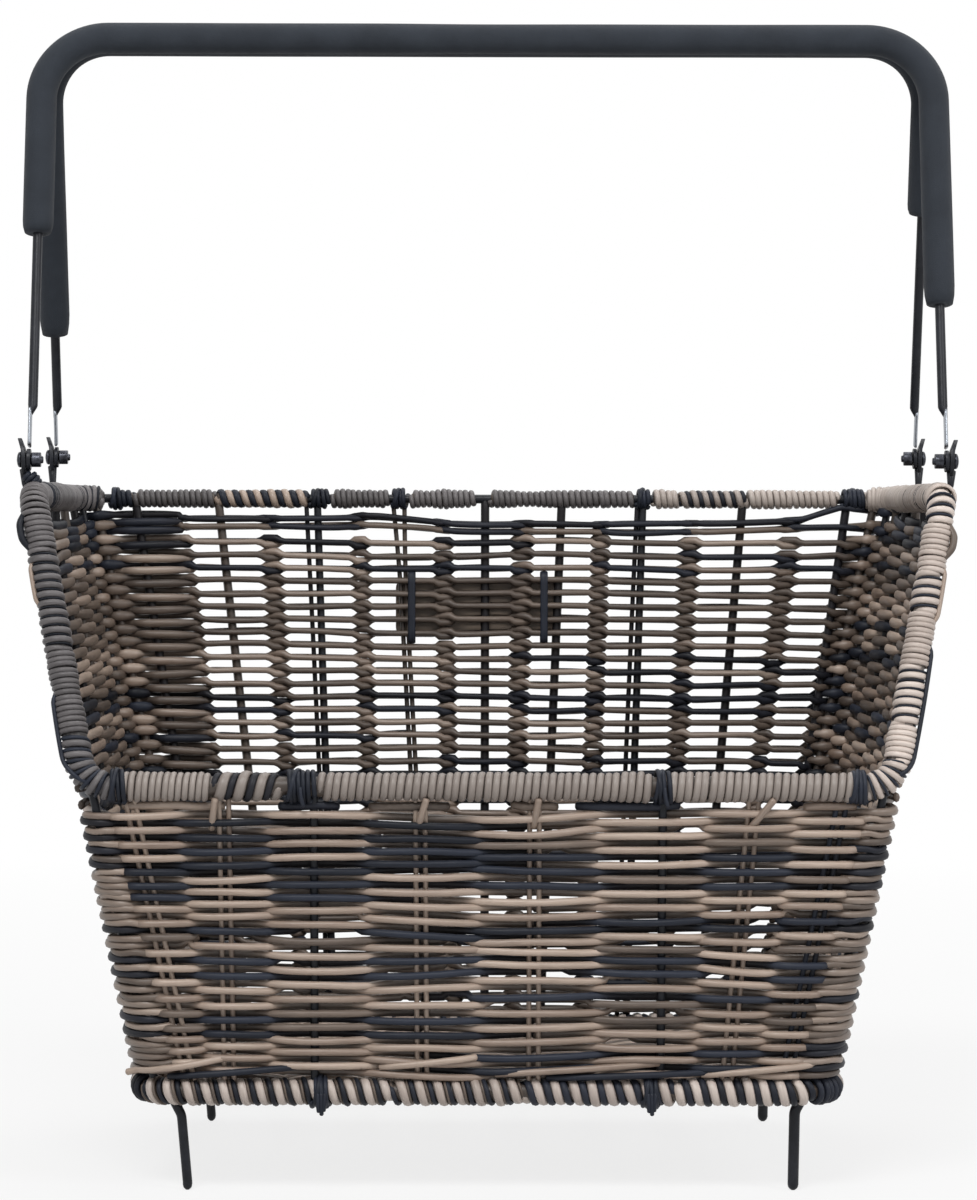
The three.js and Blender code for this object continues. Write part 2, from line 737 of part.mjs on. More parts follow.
function hinge(name, y) {
  const plate = sidePlate(earShape(), earX, earThickness).translate(0, y, hingeHeight);
  const stem = sweep(stemStations(y), stemDiameter / 2, postSides);
  const wireRoom = cutter(topSide, frameRadius + seatGap);
  const ear = cut(joined(plate, stem), wireRoom);
  const nutX = tabX - tabThickness / 2 - seatGap - nutHeight;
  const nutShape = new THREE.Shape(outline(nutAcrossCorners / 2, hexagonSides));
  nutShape.holes.push(boltHole());
  const nut = sidePlate(nutShape, nutX, nutHeight).translate(0, y, hingeHeight);
  const headX = earX + earThickness + seatGap;
  const shank = boltDiameter / 2;
  const profile = [
    new THREE.Vector2(0, nutX - boltTail),
    new THREE.Vector2(shank, nutX - boltTail),
    new THREE.Vector2(shank, headX),
    new THREE.Vector2(boltHeadDiameter / 2, headX),
    new THREE.Vector2(boltHeadDiameter / 2, headX + boltRimHeight),
    new THREE.Vector2(boltCrownDiameter / 2, headX + boltCrownHeight),
    new THREE.Vector2(0, headX + boltHeadHeight),
  ];
  const bolt = new THREE.LatheGeometry(profile, roundSides);
  bolt.rotateZ(-Math.PI / 2).translate(0, y, hingeHeight);
  for (const [part, geometry, finish] of [['hinge_ear', ear, 'steel'], ['hinge_bolt', bolt, 'zinc'],
    ['hinge_nut', nut, 'zinc']]) {
    piece(`${part}_${name}_right`, geometry, finish);
    piece(`${part}_${name}_left`, mirrorGeometry(geometry), finish);
  }
}

function badge() {
  const rise = backRimHeight - bottomHeight;
  const tilt = Math.atan2(backY - bottomDepth / 2, rise);
  const group = new THREE.Group();
  const share = (plateCentreHeight - bottomHeight) / rise;
  const wallY = bottomDepth / 2 + (backY - bottomDepth / 2) * share;
  group.position.set(plateCentreX, wallY, plateCentreHeight);
  group.rotation.x = Math.PI / 2 - tilt;
  group.updateMatrix();
  basket.add(group);
  const face = wallOutside / Math.cos(tilt) + seatGap;
  const plate = new THREE.ExtrudeGeometry(roundedShape(plateWidth, plateHeight, plateCorner),
    plain(plateThickness)).translate(0, 0, -face - plateThickness);
  piece('badge_plate', plate, 'plate', group);
  const back = -face - plateThickness - seatGap - strapThickness;
  for (const [side, sign] of [['left', -1], ['right', 1]]) {
    const half = plateHeight / 2 + strapLap;
    const strap = joined(
      new THREE.BoxGeometry(strapWidth, 2 * half, strapThickness).translate(0, 0, back + strapThickness / 2),
      ...[-1, 1].map((end) => new THREE.BoxGeometry(strapWidth, strapLap - seatGap, -face - back)
        .translate(0, end * (half - (strapLap - seatGap) / 2), (back - face) / 2)),
    );
    piece(`badge_strap_${side}`, strap.translate((sign * strapSpacing) / 2, 0, 0), 'blackStrand', group);
  }
}

frameWires();
wraps();
posts();
walls();
floor();
ties();
carrierHooks();
handles();
for (const [name, y] of Object.entries(hingeYs)) {
  hinge(name, y);
}
badge();

export default basket;
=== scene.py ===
import math

import bpy
import numpy as np
from mathutils import Matrix, Vector


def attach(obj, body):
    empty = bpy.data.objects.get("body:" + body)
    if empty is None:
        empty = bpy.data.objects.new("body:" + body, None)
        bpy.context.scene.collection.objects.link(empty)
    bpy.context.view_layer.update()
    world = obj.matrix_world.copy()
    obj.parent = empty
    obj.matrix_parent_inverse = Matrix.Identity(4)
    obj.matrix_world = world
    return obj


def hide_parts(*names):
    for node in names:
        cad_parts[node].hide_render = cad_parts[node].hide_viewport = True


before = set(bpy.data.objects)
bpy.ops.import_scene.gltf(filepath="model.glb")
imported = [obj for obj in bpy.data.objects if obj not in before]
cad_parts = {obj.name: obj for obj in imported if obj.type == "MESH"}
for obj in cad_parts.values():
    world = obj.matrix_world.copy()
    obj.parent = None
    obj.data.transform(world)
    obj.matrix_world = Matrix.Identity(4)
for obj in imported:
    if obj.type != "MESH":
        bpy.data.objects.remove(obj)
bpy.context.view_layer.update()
mm = 0.001
rng = np.random.default_rng(41)
upwards = np.array([0.0, 0.0, 1.0])


class Settings(dict):
    # A dictionary whose values are also read as attributes
    __getattr__ = dict.__getitem__


def arr(*values):
    return np.array(values, float)


def unit(vectors):
    return vectors / np.linalg.norm(vectors, axis=-1, keepdims=True)


def mirrored(points):
    return points * arr(-1, 1, 1)


def clipped(values):
    return np.clip(values, 0, 1)


def addObject(name, data):
    made = bpy.data.objects.new(name, data)
    bpy.context.scene.collection.objects.link(made)
    return made


# Camera

cameraView = Settings(
    place=arr(-17.2, -2314.7, 388.7),
    yaw=math.radians(0.448),      # to the right
    pitch=math.radians(-2.328),
    roll=math.radians(0.111),
    focalPixels=4380,             # in an image 1200 pixels high
    imageHeight=1200,
    sensor=36.0,
    clipEnd=50,                   # metres
)


def makeCamera(view):
    data = bpy.data.cameras.new("photoCamera")
    data.sensor_fit = "VERTICAL"
    data.sensor_height = view.sensor
    data.lens = view.focalPixels * view.sensor / view.imageHeight
    data.clip_end = view.clipEnd
    camera = addObject("photoCamera", data)
    turn = Matrix.Rotation(-view.yaw, 4, "Z") @ Matrix.Rotation(math.pi / 2 + view.pitch, 4, "X")
    camera.matrix_world = (Matrix.Translation(Vector(view.place) * mm) @ turn
                           @ Matrix.Rotation(view.roll, 4, "Z"))
    bpy.context.scene.camera = camera


makeCamera(cameraView)
print("camera placed")


# Shader nodes

def feed(tree, socket, value):
    if isinstance(value, Wire):
        tree.links.new(value.socket, socket)
    else:
        socket.default_value = value


class Wire:
    def __init__(self, tree, socket):
        self.tree = tree
        self.socket = socket

    def maths(self, operation, other):
        node = self.tree.nodes.new("ShaderNodeMath")
        node.operation = operation
        feed(self.tree, node.inputs[0], self)
        feed(self.tree, node.inputs[1], other)
        return Wire(self.tree, node.outputs[0])

    def __add__(self, other):
        return self.maths("ADD", other)

    __radd__ = __add__

    def __mul__(self, other):
        return self.maths("MULTIPLY", other)

    def orLarger(self, other):
        return self.maths("MAXIMUM", other)


class Shading:
    def __init__(self, tree):
        self.tree = tree

    def node(self, kind, sockets=None, output=0, **settings):
        made = self.tree.nodes.new("ShaderNode" + kind)
        for key, value in settings.items():
            setattr(made, key, value)
        for key, value in (sockets or {}).items():
            feed(self.tree, made.inputs[key], value)
        return Wire(self.tree, made.outputs[output])

    def blendColours(self, share, first, second):
        rgba = [c if isinstance(c, Wire) else (*c, 1) for c in (first, second)]
        return self.node("Mix", {0: share, 6: rgba[0], 7: rgba[1]}, 2, data_type="RGBA")

    def coloured(self, value, low, high, first, second):
        return self.blendColours(self.levels(value, low, high), first, second)

    def noise(self, vector, scale, detail=3, roughness=0.5):
        sockets = {"Vector": vector, "Scale": scale, "Detail": detail, "Roughness": roughness}
        return self.node("TexNoise", sockets)

    def attribute(self, name, output):
        return self.node("Attribute", output=output, attribute_name=name)

    def place(self):
        return self.node("TexCoord", output="Object")

    def stretched(self, vector, scale):
        return self.node("VectorMath", {0: vector, 1: scale}, operation="MULTIPLY")

    def levels(self, value, low, high):
        return self.node("MapRange", {"Value": value, "From Min": low, "From Max": high}, clamp=True)


# Finishes. A look gives the colour, the roughness, the bump and how deep the bump is, in metres.

def newFinish(name, look, sockets, *colours):
    material = bpy.data.materials.new(name)
    material.use_nodes = True
    shading = Shading(material.node_tree)
    surface = material.node_tree.nodes["Principled BSDF"]
    colour, roughness, bump, depth = look(shading, *colours)
    normal = shading.node("Bump", {"Strength": 1.0, "Distance": depth, "Height": bump})
    sockets = {**sockets, "Base Color": colour, "Roughness": roughness, "Normal": normal}
    for key, value in sockets.items():
        feed(shading.tree, surface.inputs[key], value)
    return material


# Rattan-look strands: pale colour, deep colour, coat and specular level
strandLooks = {
    "strandPale": ((0.68, 0.59, 0.53), (0.34, 0.28, 0.245), 0.2, 0.5),
    "strandTan": ((0.43, 0.337, 0.272), (0.165, 0.115, 0.086), 0.25, 0.5),
    "strandGrey": ((0.20, 0.152, 0.120), (0.056, 0.042, 0.034), 0.12, 0.35),
    "strandAsh": ((0.190, 0.176, 0.178), (0.055, 0.050, 0.051), 0.12, 0.35),
    "strandBlack": ((0.026, 0.031, 0.046), (0.004, 0.005, 0.008), 0.05, 0.16),
}
# The near black that painted shade darkens a strand's colour towards
paintedShadeColour = (0.012, 0.009, 0.008)


def strandLook(shading, light, deep):
    # Streaks along the strand, a tone of its own for each length, and painted shade: the shade attribute
    # darkens the colour towards a near black
    grain = shading.attribute("grain", "Vector")
    tone = shading.attribute("tone", "Fac")
    streaks = shading.noise(shading.stretched(grain, (90, 900, 900)), 1.0, 4, 0.6)
    patches = shading.noise(shading.stretched(grain, (22, 30, 30)), 1.0, 2)
    bare = shading.coloured(streaks * 0.45 + patches * 0.45 + tone * 0.4, 0.34, 0.92, deep, light)
    colour = shading.blendColours(shading.attribute("shade", "Fac") * 0.85, bare, paintedShadeColour)
    return colour, 0.4 + streaks * 0.2, streaks, 0.00025


def steelLook(shading):
    speckle = shading.noise(shading.place(), 900, 2)
    wear = shading.noise(shading.place(), 60, 5, 0.7)
    colour = shading.coloured(wear, 0.4, 0.75, (0.007, 0.008, 0.011), (0.020, 0.022, 0.029))
    return colour, 0.3 + wear * 0.2, speckle, 0.00004


def zincLook(shading):
    mottle = shading.noise(shading.place(), 420, 4, 0.65)
    colour = shading.coloured(mottle, 0.35, 0.7, (0.018, 0.019, 0.024), (0.07, 0.074, 0.088))
    return colour, 0.24 + mottle * 0.2, mottle, 0.00004


def bareSteelLook(shading):
    mottle = shading.noise(shading.stretched(shading.place(), (1500, 1500, 160)), 1.0, 4, 0.6)
    colour = shading.blendColours(mottle, (0.12, 0.135, 0.15), (0.45, 0.48, 0.53))
    return colour, 0.2 + mottle * 0.25, mottle, 0.00005


def foamLook(shading):
    cells = shading.node("TexVoronoi", {"Vector": shading.place(), "Scale": 2600})
    scuffs = shading.noise(shading.place(), 35, 4, 0.6)
    colour = shading.coloured(scuffs, 0.35, 0.75, (0.019, 0.023, 0.030), (0.031, 0.037, 0.047))
    return colour, 0.72 + scuffs * 0.2, cells * 0.5 + scuffs * 0.5, 0.0003


def plateLook(shading):
    brushed = shading.noise(shading.stretched(shading.place(), (60, 60, 900)), 1.0, 5, 0.6)
    blotches = shading.noise(shading.place(), 45, 3)
    mixed = brushed * 0.6 + blotches * 0.4
    colour = shading.coloured(mixed, 0.35, 0.7, (0.095, 0.069, 0.050), (0.21, 0.155, 0.113))
    return colour, 0.45 + brushed * 0.2, brushed, 0.0001


finishes = {
    "steel": newFinish("satinBlackSteel", steelLook,
                       {"Coat Weight": 0.05, "Coat Roughness": 0.25, "Specular IOR Level": 0.2}),
    "zinc": newFinish("blackZinc", zincLook, {"Metallic": 0.85}),
    "bareSteel": newFinish("flattenedSteel", bareSteelLook, {"Metallic": 1.0}),
    "foam": newFinish("foamSleeve", foamLook, {"Sheen Weight": 0.08, "Specular IOR Level": 0.2}),
    "plate": newFinish("barePlate", plateLook, {"Coat Weight": 0.1}),
}
for name, (light, deep, coat, specular) in strandLooks.items():
    sockets = {"Coat Weight": coat, "Coat Roughness": 0.3, "Specular IOR Level": specular}
    finishes[name] = newFinish(name, strandLook, sockets, light, deep)
slots = {
    "strandPale": "strand_tan", "strandTan": "strand_tan", "strandGrey": "strand_grey",
    "strandAsh": "strand_grey", "strandBlack": "strand_black", "steel": "black_steel", "zinc": "dark_zinc",
    "bareSteel": "dark_zinc", "foam": "foam", "plate": "plate_brown",
}
print("finishes made")


# Meshes

# Radius at the ends of a tube, and how far apart the grain of two tubes can lie and how wide it is
tubeLook = Settings(endTaper=0.62, grainRun=9000, grainRound=1.7, grainShift=50)


def tube(points, towards, across, along=None, sides=8, closed=False, tone=0.5, shade=0.0, ends=0.35):
    # across is the radius towards the reference vectors, along the radius square to it; shade is painted
    # shade for the colour, 1 where the strand lies hidden under others
    count = len(points)
    radii = (across, across if along is None else along)
    across, along, shade = (np.broadcast_to(values, count) for values in (*radii, shade))
    towards = np.broadcast_to(towards, points.shape)
    if closed:
        tangents = unit(np.roll(points, -1, 0) - np.roll(points, 1, 0))
    else:
        tangents = unit(np.gradient(points, axis=0))
        step = ends * min(across[0], along[0])
        taper = tubeLook.endTaper
        points = np.vstack([points[0] - tangents[0] * step, points, points[-1] + tangents[-1] * step])
        across, along = (np.r_[radius[0] * taper, radius, radius[-1] * taper] for radius in (across, along))
        tangents, towards = (np.vstack([v[0], v, v[-1]]) for v in (tangents, towards))
        shade = np.r_[shade[0], shade, shade[-1]]
        count += 2
    first = unit(towards - (towards * tangents).sum(1, keepdims=True) * tangents)
    second = np.cross(tangents, first)
    angles = np.arange(sides) / sides * 2 * math.pi
    cosines, sines = np.cos(angles), np.sin(angles)
    rings = (points[:, None] + first[:, None] * np.outer(across, cosines)[:, :, None]
             + second[:, None] * np.outer(along, sines)[:, :, None])
    i, k = np.meshgrid(np.arange(count if closed else count - 1), np.arange(sides), indexing="ij")
    ring, nextRing, nextSide = i * sides, (i + 1) % count * sides, (k + 1) % sides
    quads = np.stack([ring + k, ring + nextSide, nextRing + nextSide, nextRing + k], -1)
    caps = [] if closed else [np.arange(sides)[::-1], np.arange(sides) + (count - 1) * sides]
    run = np.r_[0, np.cumsum(np.linalg.norm(np.diff(points, axis=0), axis=1))]
    run = run + rng.uniform(0, tubeLook.grainRun)
    grain = np.stack([np.repeat(run, sides), np.tile(cosines, count), np.tile(sines, count)], -1)
    grain[:, 1:] = grain[:, 1:] * tubeLook.grainRound + rng.uniform(0, tubeLook.grainShift)
    return {"points": rings.reshape(-1, 3), "quads": quads.reshape(-1, 4), "caps": caps, "grain": grain * mm,
            "tone": np.full(count * sides, tone), "shade": np.repeat(shade, sides)}


def strand(points, towards, across, **more):
    # A tube with a tone of its own
    return tube(points, towards, across, tone=rng.uniform(0, 1), **more)


def movePoints(mesh, points):
    mesh.vertices.foreach_set("co", (points * mm).astype(np.float32).ravel())


def meshOf(name, tubes):
    starts = np.cumsum([0] + [len(t["points"]) for t in tubes])
    quads = np.concatenate([t["quads"] + start for t, start in zip(tubes, starts)])
    caps = [cap + start for t, start in zip(tubes, starts) for cap in t["caps"]]
    loops = np.concatenate([quads.ravel()] + caps).astype(np.int32)
    sizes = np.r_[np.full(len(quads), 4), [len(cap) for cap in caps]].astype(np.int32)
    points = np.concatenate([t["points"] for t in tubes])
    mesh = bpy.data.meshes.new(name)
    mesh.vertices.add(len(points))
    movePoints(mesh, points)
    mesh.loops.add(len(loops))
    mesh.loops.foreach_set("vertex_index", loops)
    mesh.polygons.add(len(sizes))
    mesh.polygons.foreach_set("loop_start", np.r_[0, np.cumsum(sizes)[:-1]].astype(np.int32))
    mesh.polygons.foreach_set("loop_total", sizes)
    mesh.polygons.foreach_set("use_smooth", np.ones(len(sizes), bool))
    for key, kind, field in (("grain", "FLOAT_VECTOR", "vector"), ("tone", "FLOAT", "value"),
                             ("shade", "FLOAT", "value")):
        values = np.concatenate([t[key] for t in tubes]).astype(np.float32).ravel()
        mesh.attributes.new(key, kind, "POINT").data.foreach_set(field, values)
    mesh.update(calc_edges=True)
    mesh.validate()
    return mesh


def place(name, mesh, finish, body="basket", stands=()):
    piece = addObject(name, mesh)
    mesh.materials.clear()
    mesh.materials.append(finishes[finish])
    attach(piece, body)
    if stands:
        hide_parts(*stands)
    return piece


def placeTubes(name, tubes, finish, body="basket", stands=()):
    return place(name, meshOf(name, tubes), finish, body, stands)


def bundle():
    return {finish: [] for finish in strandLooks}


def placeBundle(prefix, strands, stands=(), bySlot=False):
    # One piece for each finish in use; the first stands for the nodes
    for finish, tubes in strands.items():
        if tubes:
            label = slots[finish] if bySlot else finish.removeprefix("strand").lower()
            placeTubes(f"{prefix}_{label}", tubes, finish, stands=stands)
            stands = ()


# Basket outline, on the centres of the frame wires, as in the solids: corners on the right and bends

outline = Settings(
    front=arr(202, -138, 207), shoulder=arr(231, -92, 351), back=arr(231, 140, 345.5),
    lowFront=arr(174.5, -120, 51.5), lowBack=arr(174.5, 120, 51.5),
    topRadii=(17, 15, 16), lowRadii=(25, 25), sideBulge=8, bulgeRise=1.3,
)


def bend(before, corner, after, radius, steps=14):
    back, ahead = unit(before - corner), unit(after - corner)
    half = math.acos(back @ ahead) / 2
    centre = corner + unit(back + ahead) * radius / math.sin(half)
    start = corner + back * radius / math.tan(half) - centre
    end = corner + ahead * radius / math.tan(half) - centre
    turn = math.pi - 2 * half
    share = np.linspace(0, 1, steps + 1)[:, None]
    return centre + (np.sin((1 - share) * turn) * start + np.sin(share * turn) * end) / math.sin(turn)


def acrossMiddle(end):
    return np.vstack([mirrored(end), end])


def bends(names, radii):
    corners = [outline[name] for name in names]
    corners = [mirrored(corners[0])] + corners + [mirrored(corners[-1])]
    return [bend(*three, radius) for *three, radius in zip(corners, corners[1:], corners[2:], radii)]


topFrontBend, topShoulderBend, topBackBend = bends(("front", "shoulder", "back"), outline.topRadii)
lowFrontBend, lowBackBend = bends(("lowFront", "lowBack"), outline.lowRadii)
topSide = np.vstack([topFrontBend, topShoulderBend, topBackBend])
lowSide = np.vstack([lowFrontBend, lowBackBend])

# Stakes of each wall, in order from the front's middle or, on the back, outwards: foot and head, as x
# or as a share of the side's length, and kind. A pair is two strands, darkPair two black ones, and
# parted a pair that parts under the rim. A post is a frame wire and a rod is a thin stake. The "turn"
# is the last rod of the back wall, with the close weave of the corner beyond it. The "seam" is a rod
# that the strands of a row pass on the same side as the stake before it, as the number of stakes is odd.
stakes = Settings(
    front={"right": [(23, 23, "pair"), (87, 87, "post"), (120, 133, "pair"), (149, 178, "darkPair")],
           "left": [(33, 34, "pair"), (87, 87, "post"), (130, 132, "pair"), (149, 180, "pair")]},
    sideShares=(0.15, 0.29, 0.43, 0.57, 0.71, 0.85),
    side={"right": ["rod"] * 6, "left": ["rod", "rod", "rod", "seam", "rod", "rod"]},
    back={"right": [(31, 43, "rod"), (79, 88.5, "post"), (119, 144.5, "rod"), (148, 203, "turn")],
          "left": [(32, 48.5, "parted"), (84, 94, "post"), (116, 149.5, "rod"), (149, 196, "turn")]},
    inFrontCorner={7: "corner"},
    inBackCorner={2: "rod", 7: "corner", 12: "rod"},
    halfWidths={"post": 2.0, "corner": 2.0, "rod": 1.6, "seam": 1.6}, otherHalf=1.3,
    columnStep=2.2,
    crowding=1.3,     # how much closer the columns lie midway between two stakes
)


def topAt(y):
    return arr(np.interp(y, topSide[:, 1], topSide[:, 0]), y, np.interp(y, topSide[:, 1], topSide[:, 2]))


def columnShares(foot, head, footEnd, headEnd):
    span = np.linalg.norm((foot + head) / 2 - (footEnd + headEnd) / 2)
    count = max(2, round(span / stakes.columnStep))
    even = np.linspace(-1, 1, count, endpoint=False)
    return (1 + np.sign(even) * np.abs(even) ** stakes.crowding)[:, None] / 2


def halfRing(side):
    # Columns from the middle of the front to the middle of the back, as on the right
    feet, heads, kinds = [], [], []

    def add(footLine, headLine, kind):
        feet.append(footLine)
        heads.append(headLine)
        kinds.extend([kind] + [""] * (len(footLine) - 1))

    def wall(spots):
        for (foot, head, kind), (footEnd, headEnd, _) in zip(spots, spots[1:]):
            share = columnShares(foot, head, footEnd, headEnd)
            add(foot + (footEnd - foot) * share, head + (headEnd - head) * share, kind)

    def spots(places, low, top):
        return [(arr(foot, *low[1:]), arr(head, *top[1:]), kind) for foot, head, kind in places]

    def corner(lowBend, topBend, places):
        for index, (foot, head) in enumerate(zip(lowBend[:-1], topBend[:-1])):
            add(foot[None], head[None], places.get(index, ""))

    front = spots([(0, 0, "")] + stakes.front[side], outline.lowFront, outline.front)
    wall(front + [(lowFrontBend[0], topFrontBend[0], "")])
    corner(lowFrontBend, topFrontBend, stakes.inFrontCorner)
    low, top = (lowFrontBend[-1], lowBackBend[0]), (topFrontBend[-1, 1], topBackBend[0, 1])
    shares = [0, *stakes.sideShares, 1]
    for begin, end, kind in zip(shares, shares[1:], [""] + stakes.side[side]):
        ends = [low[0] + (low[1] - low[0]) * share for share in (begin, end)]
        topY = [top[0] + (top[1] - top[0]) * share for share in (begin, end)]
        share = columnShares(ends[0], topAt(topY[0]), ends[1], topAt(topY[1]))
        tops = np.array([topAt(y) for y in topY[0] + (topY[1] - topY[0]) * share[:, 0]])
        add(ends[0] + (ends[1] - ends[0]) * share, tops, kind)
    corner(lowBackBend, topBackBend, stakes.inBackCorner)
    back = spots(stakes.back[side][::-1] + [(0, 0, "")], outline.lowBack, outline.back)
    wall([(lowBackBend[-1], topBackBend[-1], "")] + back)
    return np.vstack(feet), np.vstack(heads), kinds


def fullRing():
    feetRight, headsRight, kindsRight = halfRing("right")
    feetLeft, headsLeft, kindsLeft = halfRing("left")
    feet = np.vstack([feetRight, arr(0, *outline.lowBack[1:]), mirrored(feetLeft[:0:-1])])
    heads = np.vstack([headsRight, arr(0, *outline.back[1:]), mirrored(headsLeft[:0:-1])])
    return feet, heads, kindsRight + ["rod"] + kindsLeft[:0:-1]


feet, heads, kinds = fullRing()
columnCount = len(feet)
middles = (feet + heads) / 2
ringRun = np.r_[0, np.cumsum(np.linalg.norm(np.diff(middles, axis=0), axis=1))]
ringLength = ringRun[-1] + np.linalg.norm(middles[0] - middles[-1])
stakeColumns = [column for column, kind in enumerate(kinds) if kind]
# Stakes passed at each stake and at each column, counted from the front's middle to the right
turnsAtStakes = [int(turn) for turn in np.cumsum([kinds[column] != "seam" for column in stakeColumns]) - 1]
stakeCount = turnsAtStakes[-1] + 1
runs = np.r_[ringRun[stakeColumns[-1]] - ringLength, ringRun[stakeColumns],
             ringRun[stakeColumns[0]] + ringLength]
passed = np.interp(ringRun, runs, [-1] + turnsAtStakes + [stakeCount])
tangents = np.roll(feet, -1, 0) - np.roll(feet, 1, 0)
outwards = unit(np.stack([tangents[:, 1], -tangents[:, 0], np.zeros(columnCount)], -1))
sideShare = clipped((middles[:, 1] - lowFrontBend[-1, 1]) / (lowBackBend[0, 1] - lowFrontBend[-1, 1]))
onSide = np.abs(feet[:, 0]) > lowFrontBend[-1, 0] - 0.5
bulges = np.where(onSide, outline.sideBulge * np.sin(math.pi * sideShare), 0)
print("stakes", stakeCount, "columns", columnCount)


def bulgeCurve(v):
    v = clipped(v)
    return v ** outline.bulgeRise * np.sqrt(1 - v)


bulgePeak = bulgeCurve(outline.bulgeRise / (outline.bulgeRise + 0.5))


def onWall(columns, height):
    foot, head = feet[columns], heads[columns]
    v = ((height - foot[:, 2]) / (head[:, 2] - foot[:, 2]))[:, None]
    lean = (bulges[columns] * bulgeCurve(v[:, 0]) / bulgePeak)[:, None]
    return foot + (head - foot) * v + outwards[columns] * lean


# Woven rows. Each row is a pair of strands that change places between the stakes. On the front and
# the sides the two lie one over the other. On the back they lie at one height, inside and outside
# the stakes, and twist where they change places, so that there are windows between the rows.

weave = Settings(
    frontStrand=3.75,
    sideStrand=3.5,
    backStrand=3.35,
    firstRow=62.1,
    rowPitch=7.2,
    rows=37,
    frontTop=196,          # rows over this height run between the sloping side rims
    frontTopRow=18,
    stack=1.8,             # of a strand over or under the row's middle, where the two are stacked
    rise=1.8,              # of a strand over the row's middle, where the two change places
    bandWidth=8.6,         # of that place on the back wall
    bandEase=2.4,
    bandSwell=0.46,
    depthSharpness=2,
    squeeze=0.1,           # of a strand against a stake
    drift=1.5,             # of neighbouring rows together
    driftOnBack=0.45,
    driftLength=75,
    driftRows=3.5,
    waver=(0.34, 12),      # of one strand, and its length in columns
    frontReach=40,         # over which the front's strands go over to the sides' ones
    sideTall=1.1,
    denseTall=0.6,         # on the back wall past its last stake
    frontTall=0.35,
    leastTall=0.3,
    # backShade, frontShade, cornerShade and denseShades are painted shade in the strands' colour: the whole
    # back wall, the front's inner strand, the front corners and the close weave past the back wall's last
    # stake
    backShade=0.36,
    frontShade=0.88,       # of the inner strand
    cornerShade=0.5,       # at the front corners
    cornerFades=(8, 14, 10),    # over which it grows in x, and where and over which it ends in y
    rimGap=1.0,            # of a row's middle under the rim's wire
    shortest=6,            # columns of a length of strand in the upper rows
    denseShades=(0.18, 0.62),   # of the inner and the outer strand past the back wall's last stake
    windowLift=2.3,        # of the inner strand over a window in the front wall
    windowEase=5,
)
badgeRows = (286, 18)      # middle and reach of the brown rows over the badge
backFrom = 110             # y of the back wall, for the colours of the high rows
# The last, doubled row under the back rim; its right end climbs past the places endX and endY
lastRow = Settings(heights=(327.9, 332.2), waver=(1.5, 26), rightEndLift=7, endX=(178, 22), endY=(60, 50),
                   twisted=0.25)
# Short strands at the front corner posts: columns to each side, how they dip to the wall, unevenness, radius,
# finish shares, and painted shade at the corner and at least
cornerHook = Settings(columns=7, power=2.4, depth=4.6, depthNoise=(0.3, 9), levelNoise=(0.5, 12),
                      radius=1.75, shares=(0.55, 0.3, 0.15), shades=(0.7, 0.1))

# Windows of the front wall, left open by an inner strand that lies high: two ends and height
frontWindows = [
    (-86, -63, 141.4), (-95, -65, 133.3), (-152, -117, 129.5), (-106, -95, 116.2), (-105, -96, 99.8),
    (-84, -77, 99.8), (-22, -10, 128.3), (-22, -10, 119.8), (-42, -9, 96.3), (30, 39, 171.6), (70, 82, 167.9),
    (10, 41, 124.3), (28, 39, 115.7), (67, 81, 127.8), (53, 80, 111.8), (0, 51, 99.7), (61, 100, 95.9),
    (60, 73, 79.1), (94, 107, 183), (114, 128, 164.5), (133, 148, 148.4), (133, 153, 139.6),
    (131, 146, 131.6), (130, 148, 124.4), (110, 124, 108.3),
]

# Strands of the front wall from the top row down: number of rows, and the strands that lie over the
# even and over the odd stakes
pale, tan, grey, ash, black = strandLooks
frontBlocks = {
    "left": [(4, tan, black), (3, black, tan), (1, tan, tan), (1, tan, black), (1, grey, tan),
             (2, tan, black), (2, tan, tan), (2, grey, black), (3, tan, tan)],
    "right": [(2, tan, tan), (1, grey, tan), (1, black, tan), (1, black, grey), (1, black, tan),
              (1, tan, tan), (1, tan, black), (1, black, tan), (1, tan, grey), (2, tan, black), (1, tan, tan),
              (1, black, grey), (1, tan, grey), (2, tan, tan), (2, black, tan)],
}
# The back's mix holds more dark strands than the sides', partly the strands' own colours and partly painted
# shade inside the basket
rowShares = {"side": (0.42, 0.46, 0.12), "back": (0.18, 0.48, 0.34)}     # of tan, grey and black
rowStrands = {"lower": bundle(), "upper": bundle()}
replacedByRows = {("lower", tan): ["weave_front"], ("upper", grey): ["weave_right", "weave_left"],
                  ("upper", black): ["weave_back"]}


def eased(share):
    return (1 - np.cos(math.pi * share)) / 2


def smoothNoise(length, size, period):
    knots = rng.normal(0, size, max(4, int(length / period)) + 1)
    at = np.linspace(0, len(knots) - 1.001, length)
    low = at.astype(int)
    return knots[low] + (knots[low + 1] - knots[low]) * eased(at - low)


def depthAt(turns):
    # 1 where a strand lies outside a stake and -1 where it lies inside
    whole = np.floor(turns + 0.5)
    part = turns - whole
    stair = whole + np.sign(part) * 0.5 * np.abs(2 * part) ** weave.depthSharpness
    return np.cos(math.pi * stair)


def columnWithTurn(turn):
    return stakeColumns[turnsAtStakes.index(turn % stakeCount)]


backCorners = [turn for column, turn in zip(stakeColumns, turnsAtStakes) if kinds[column] == "turn"]
riseSign = (-1) ** (backCorners[1] - 1)


def stackedShare():
    # 1 where the strands of a row are stacked. It ends at the last stake of the back wall on the right,
    # and starts where the strands cross before the one on the left, with the twist that meets the stack.
    share = np.ones(columnCount)
    begin, end = columnWithTurn(backCorners[0] - 1), columnWithTurn(backCorners[0])
    left = (ringRun[end] - ringRun[begin:end + 1]) / (ringRun[end] - ringRun[begin])
    share[begin:end + 1] = eased(clipped(left))
    share[end:] = passed[end:] >= backCorners[1] - 0.5
    return share


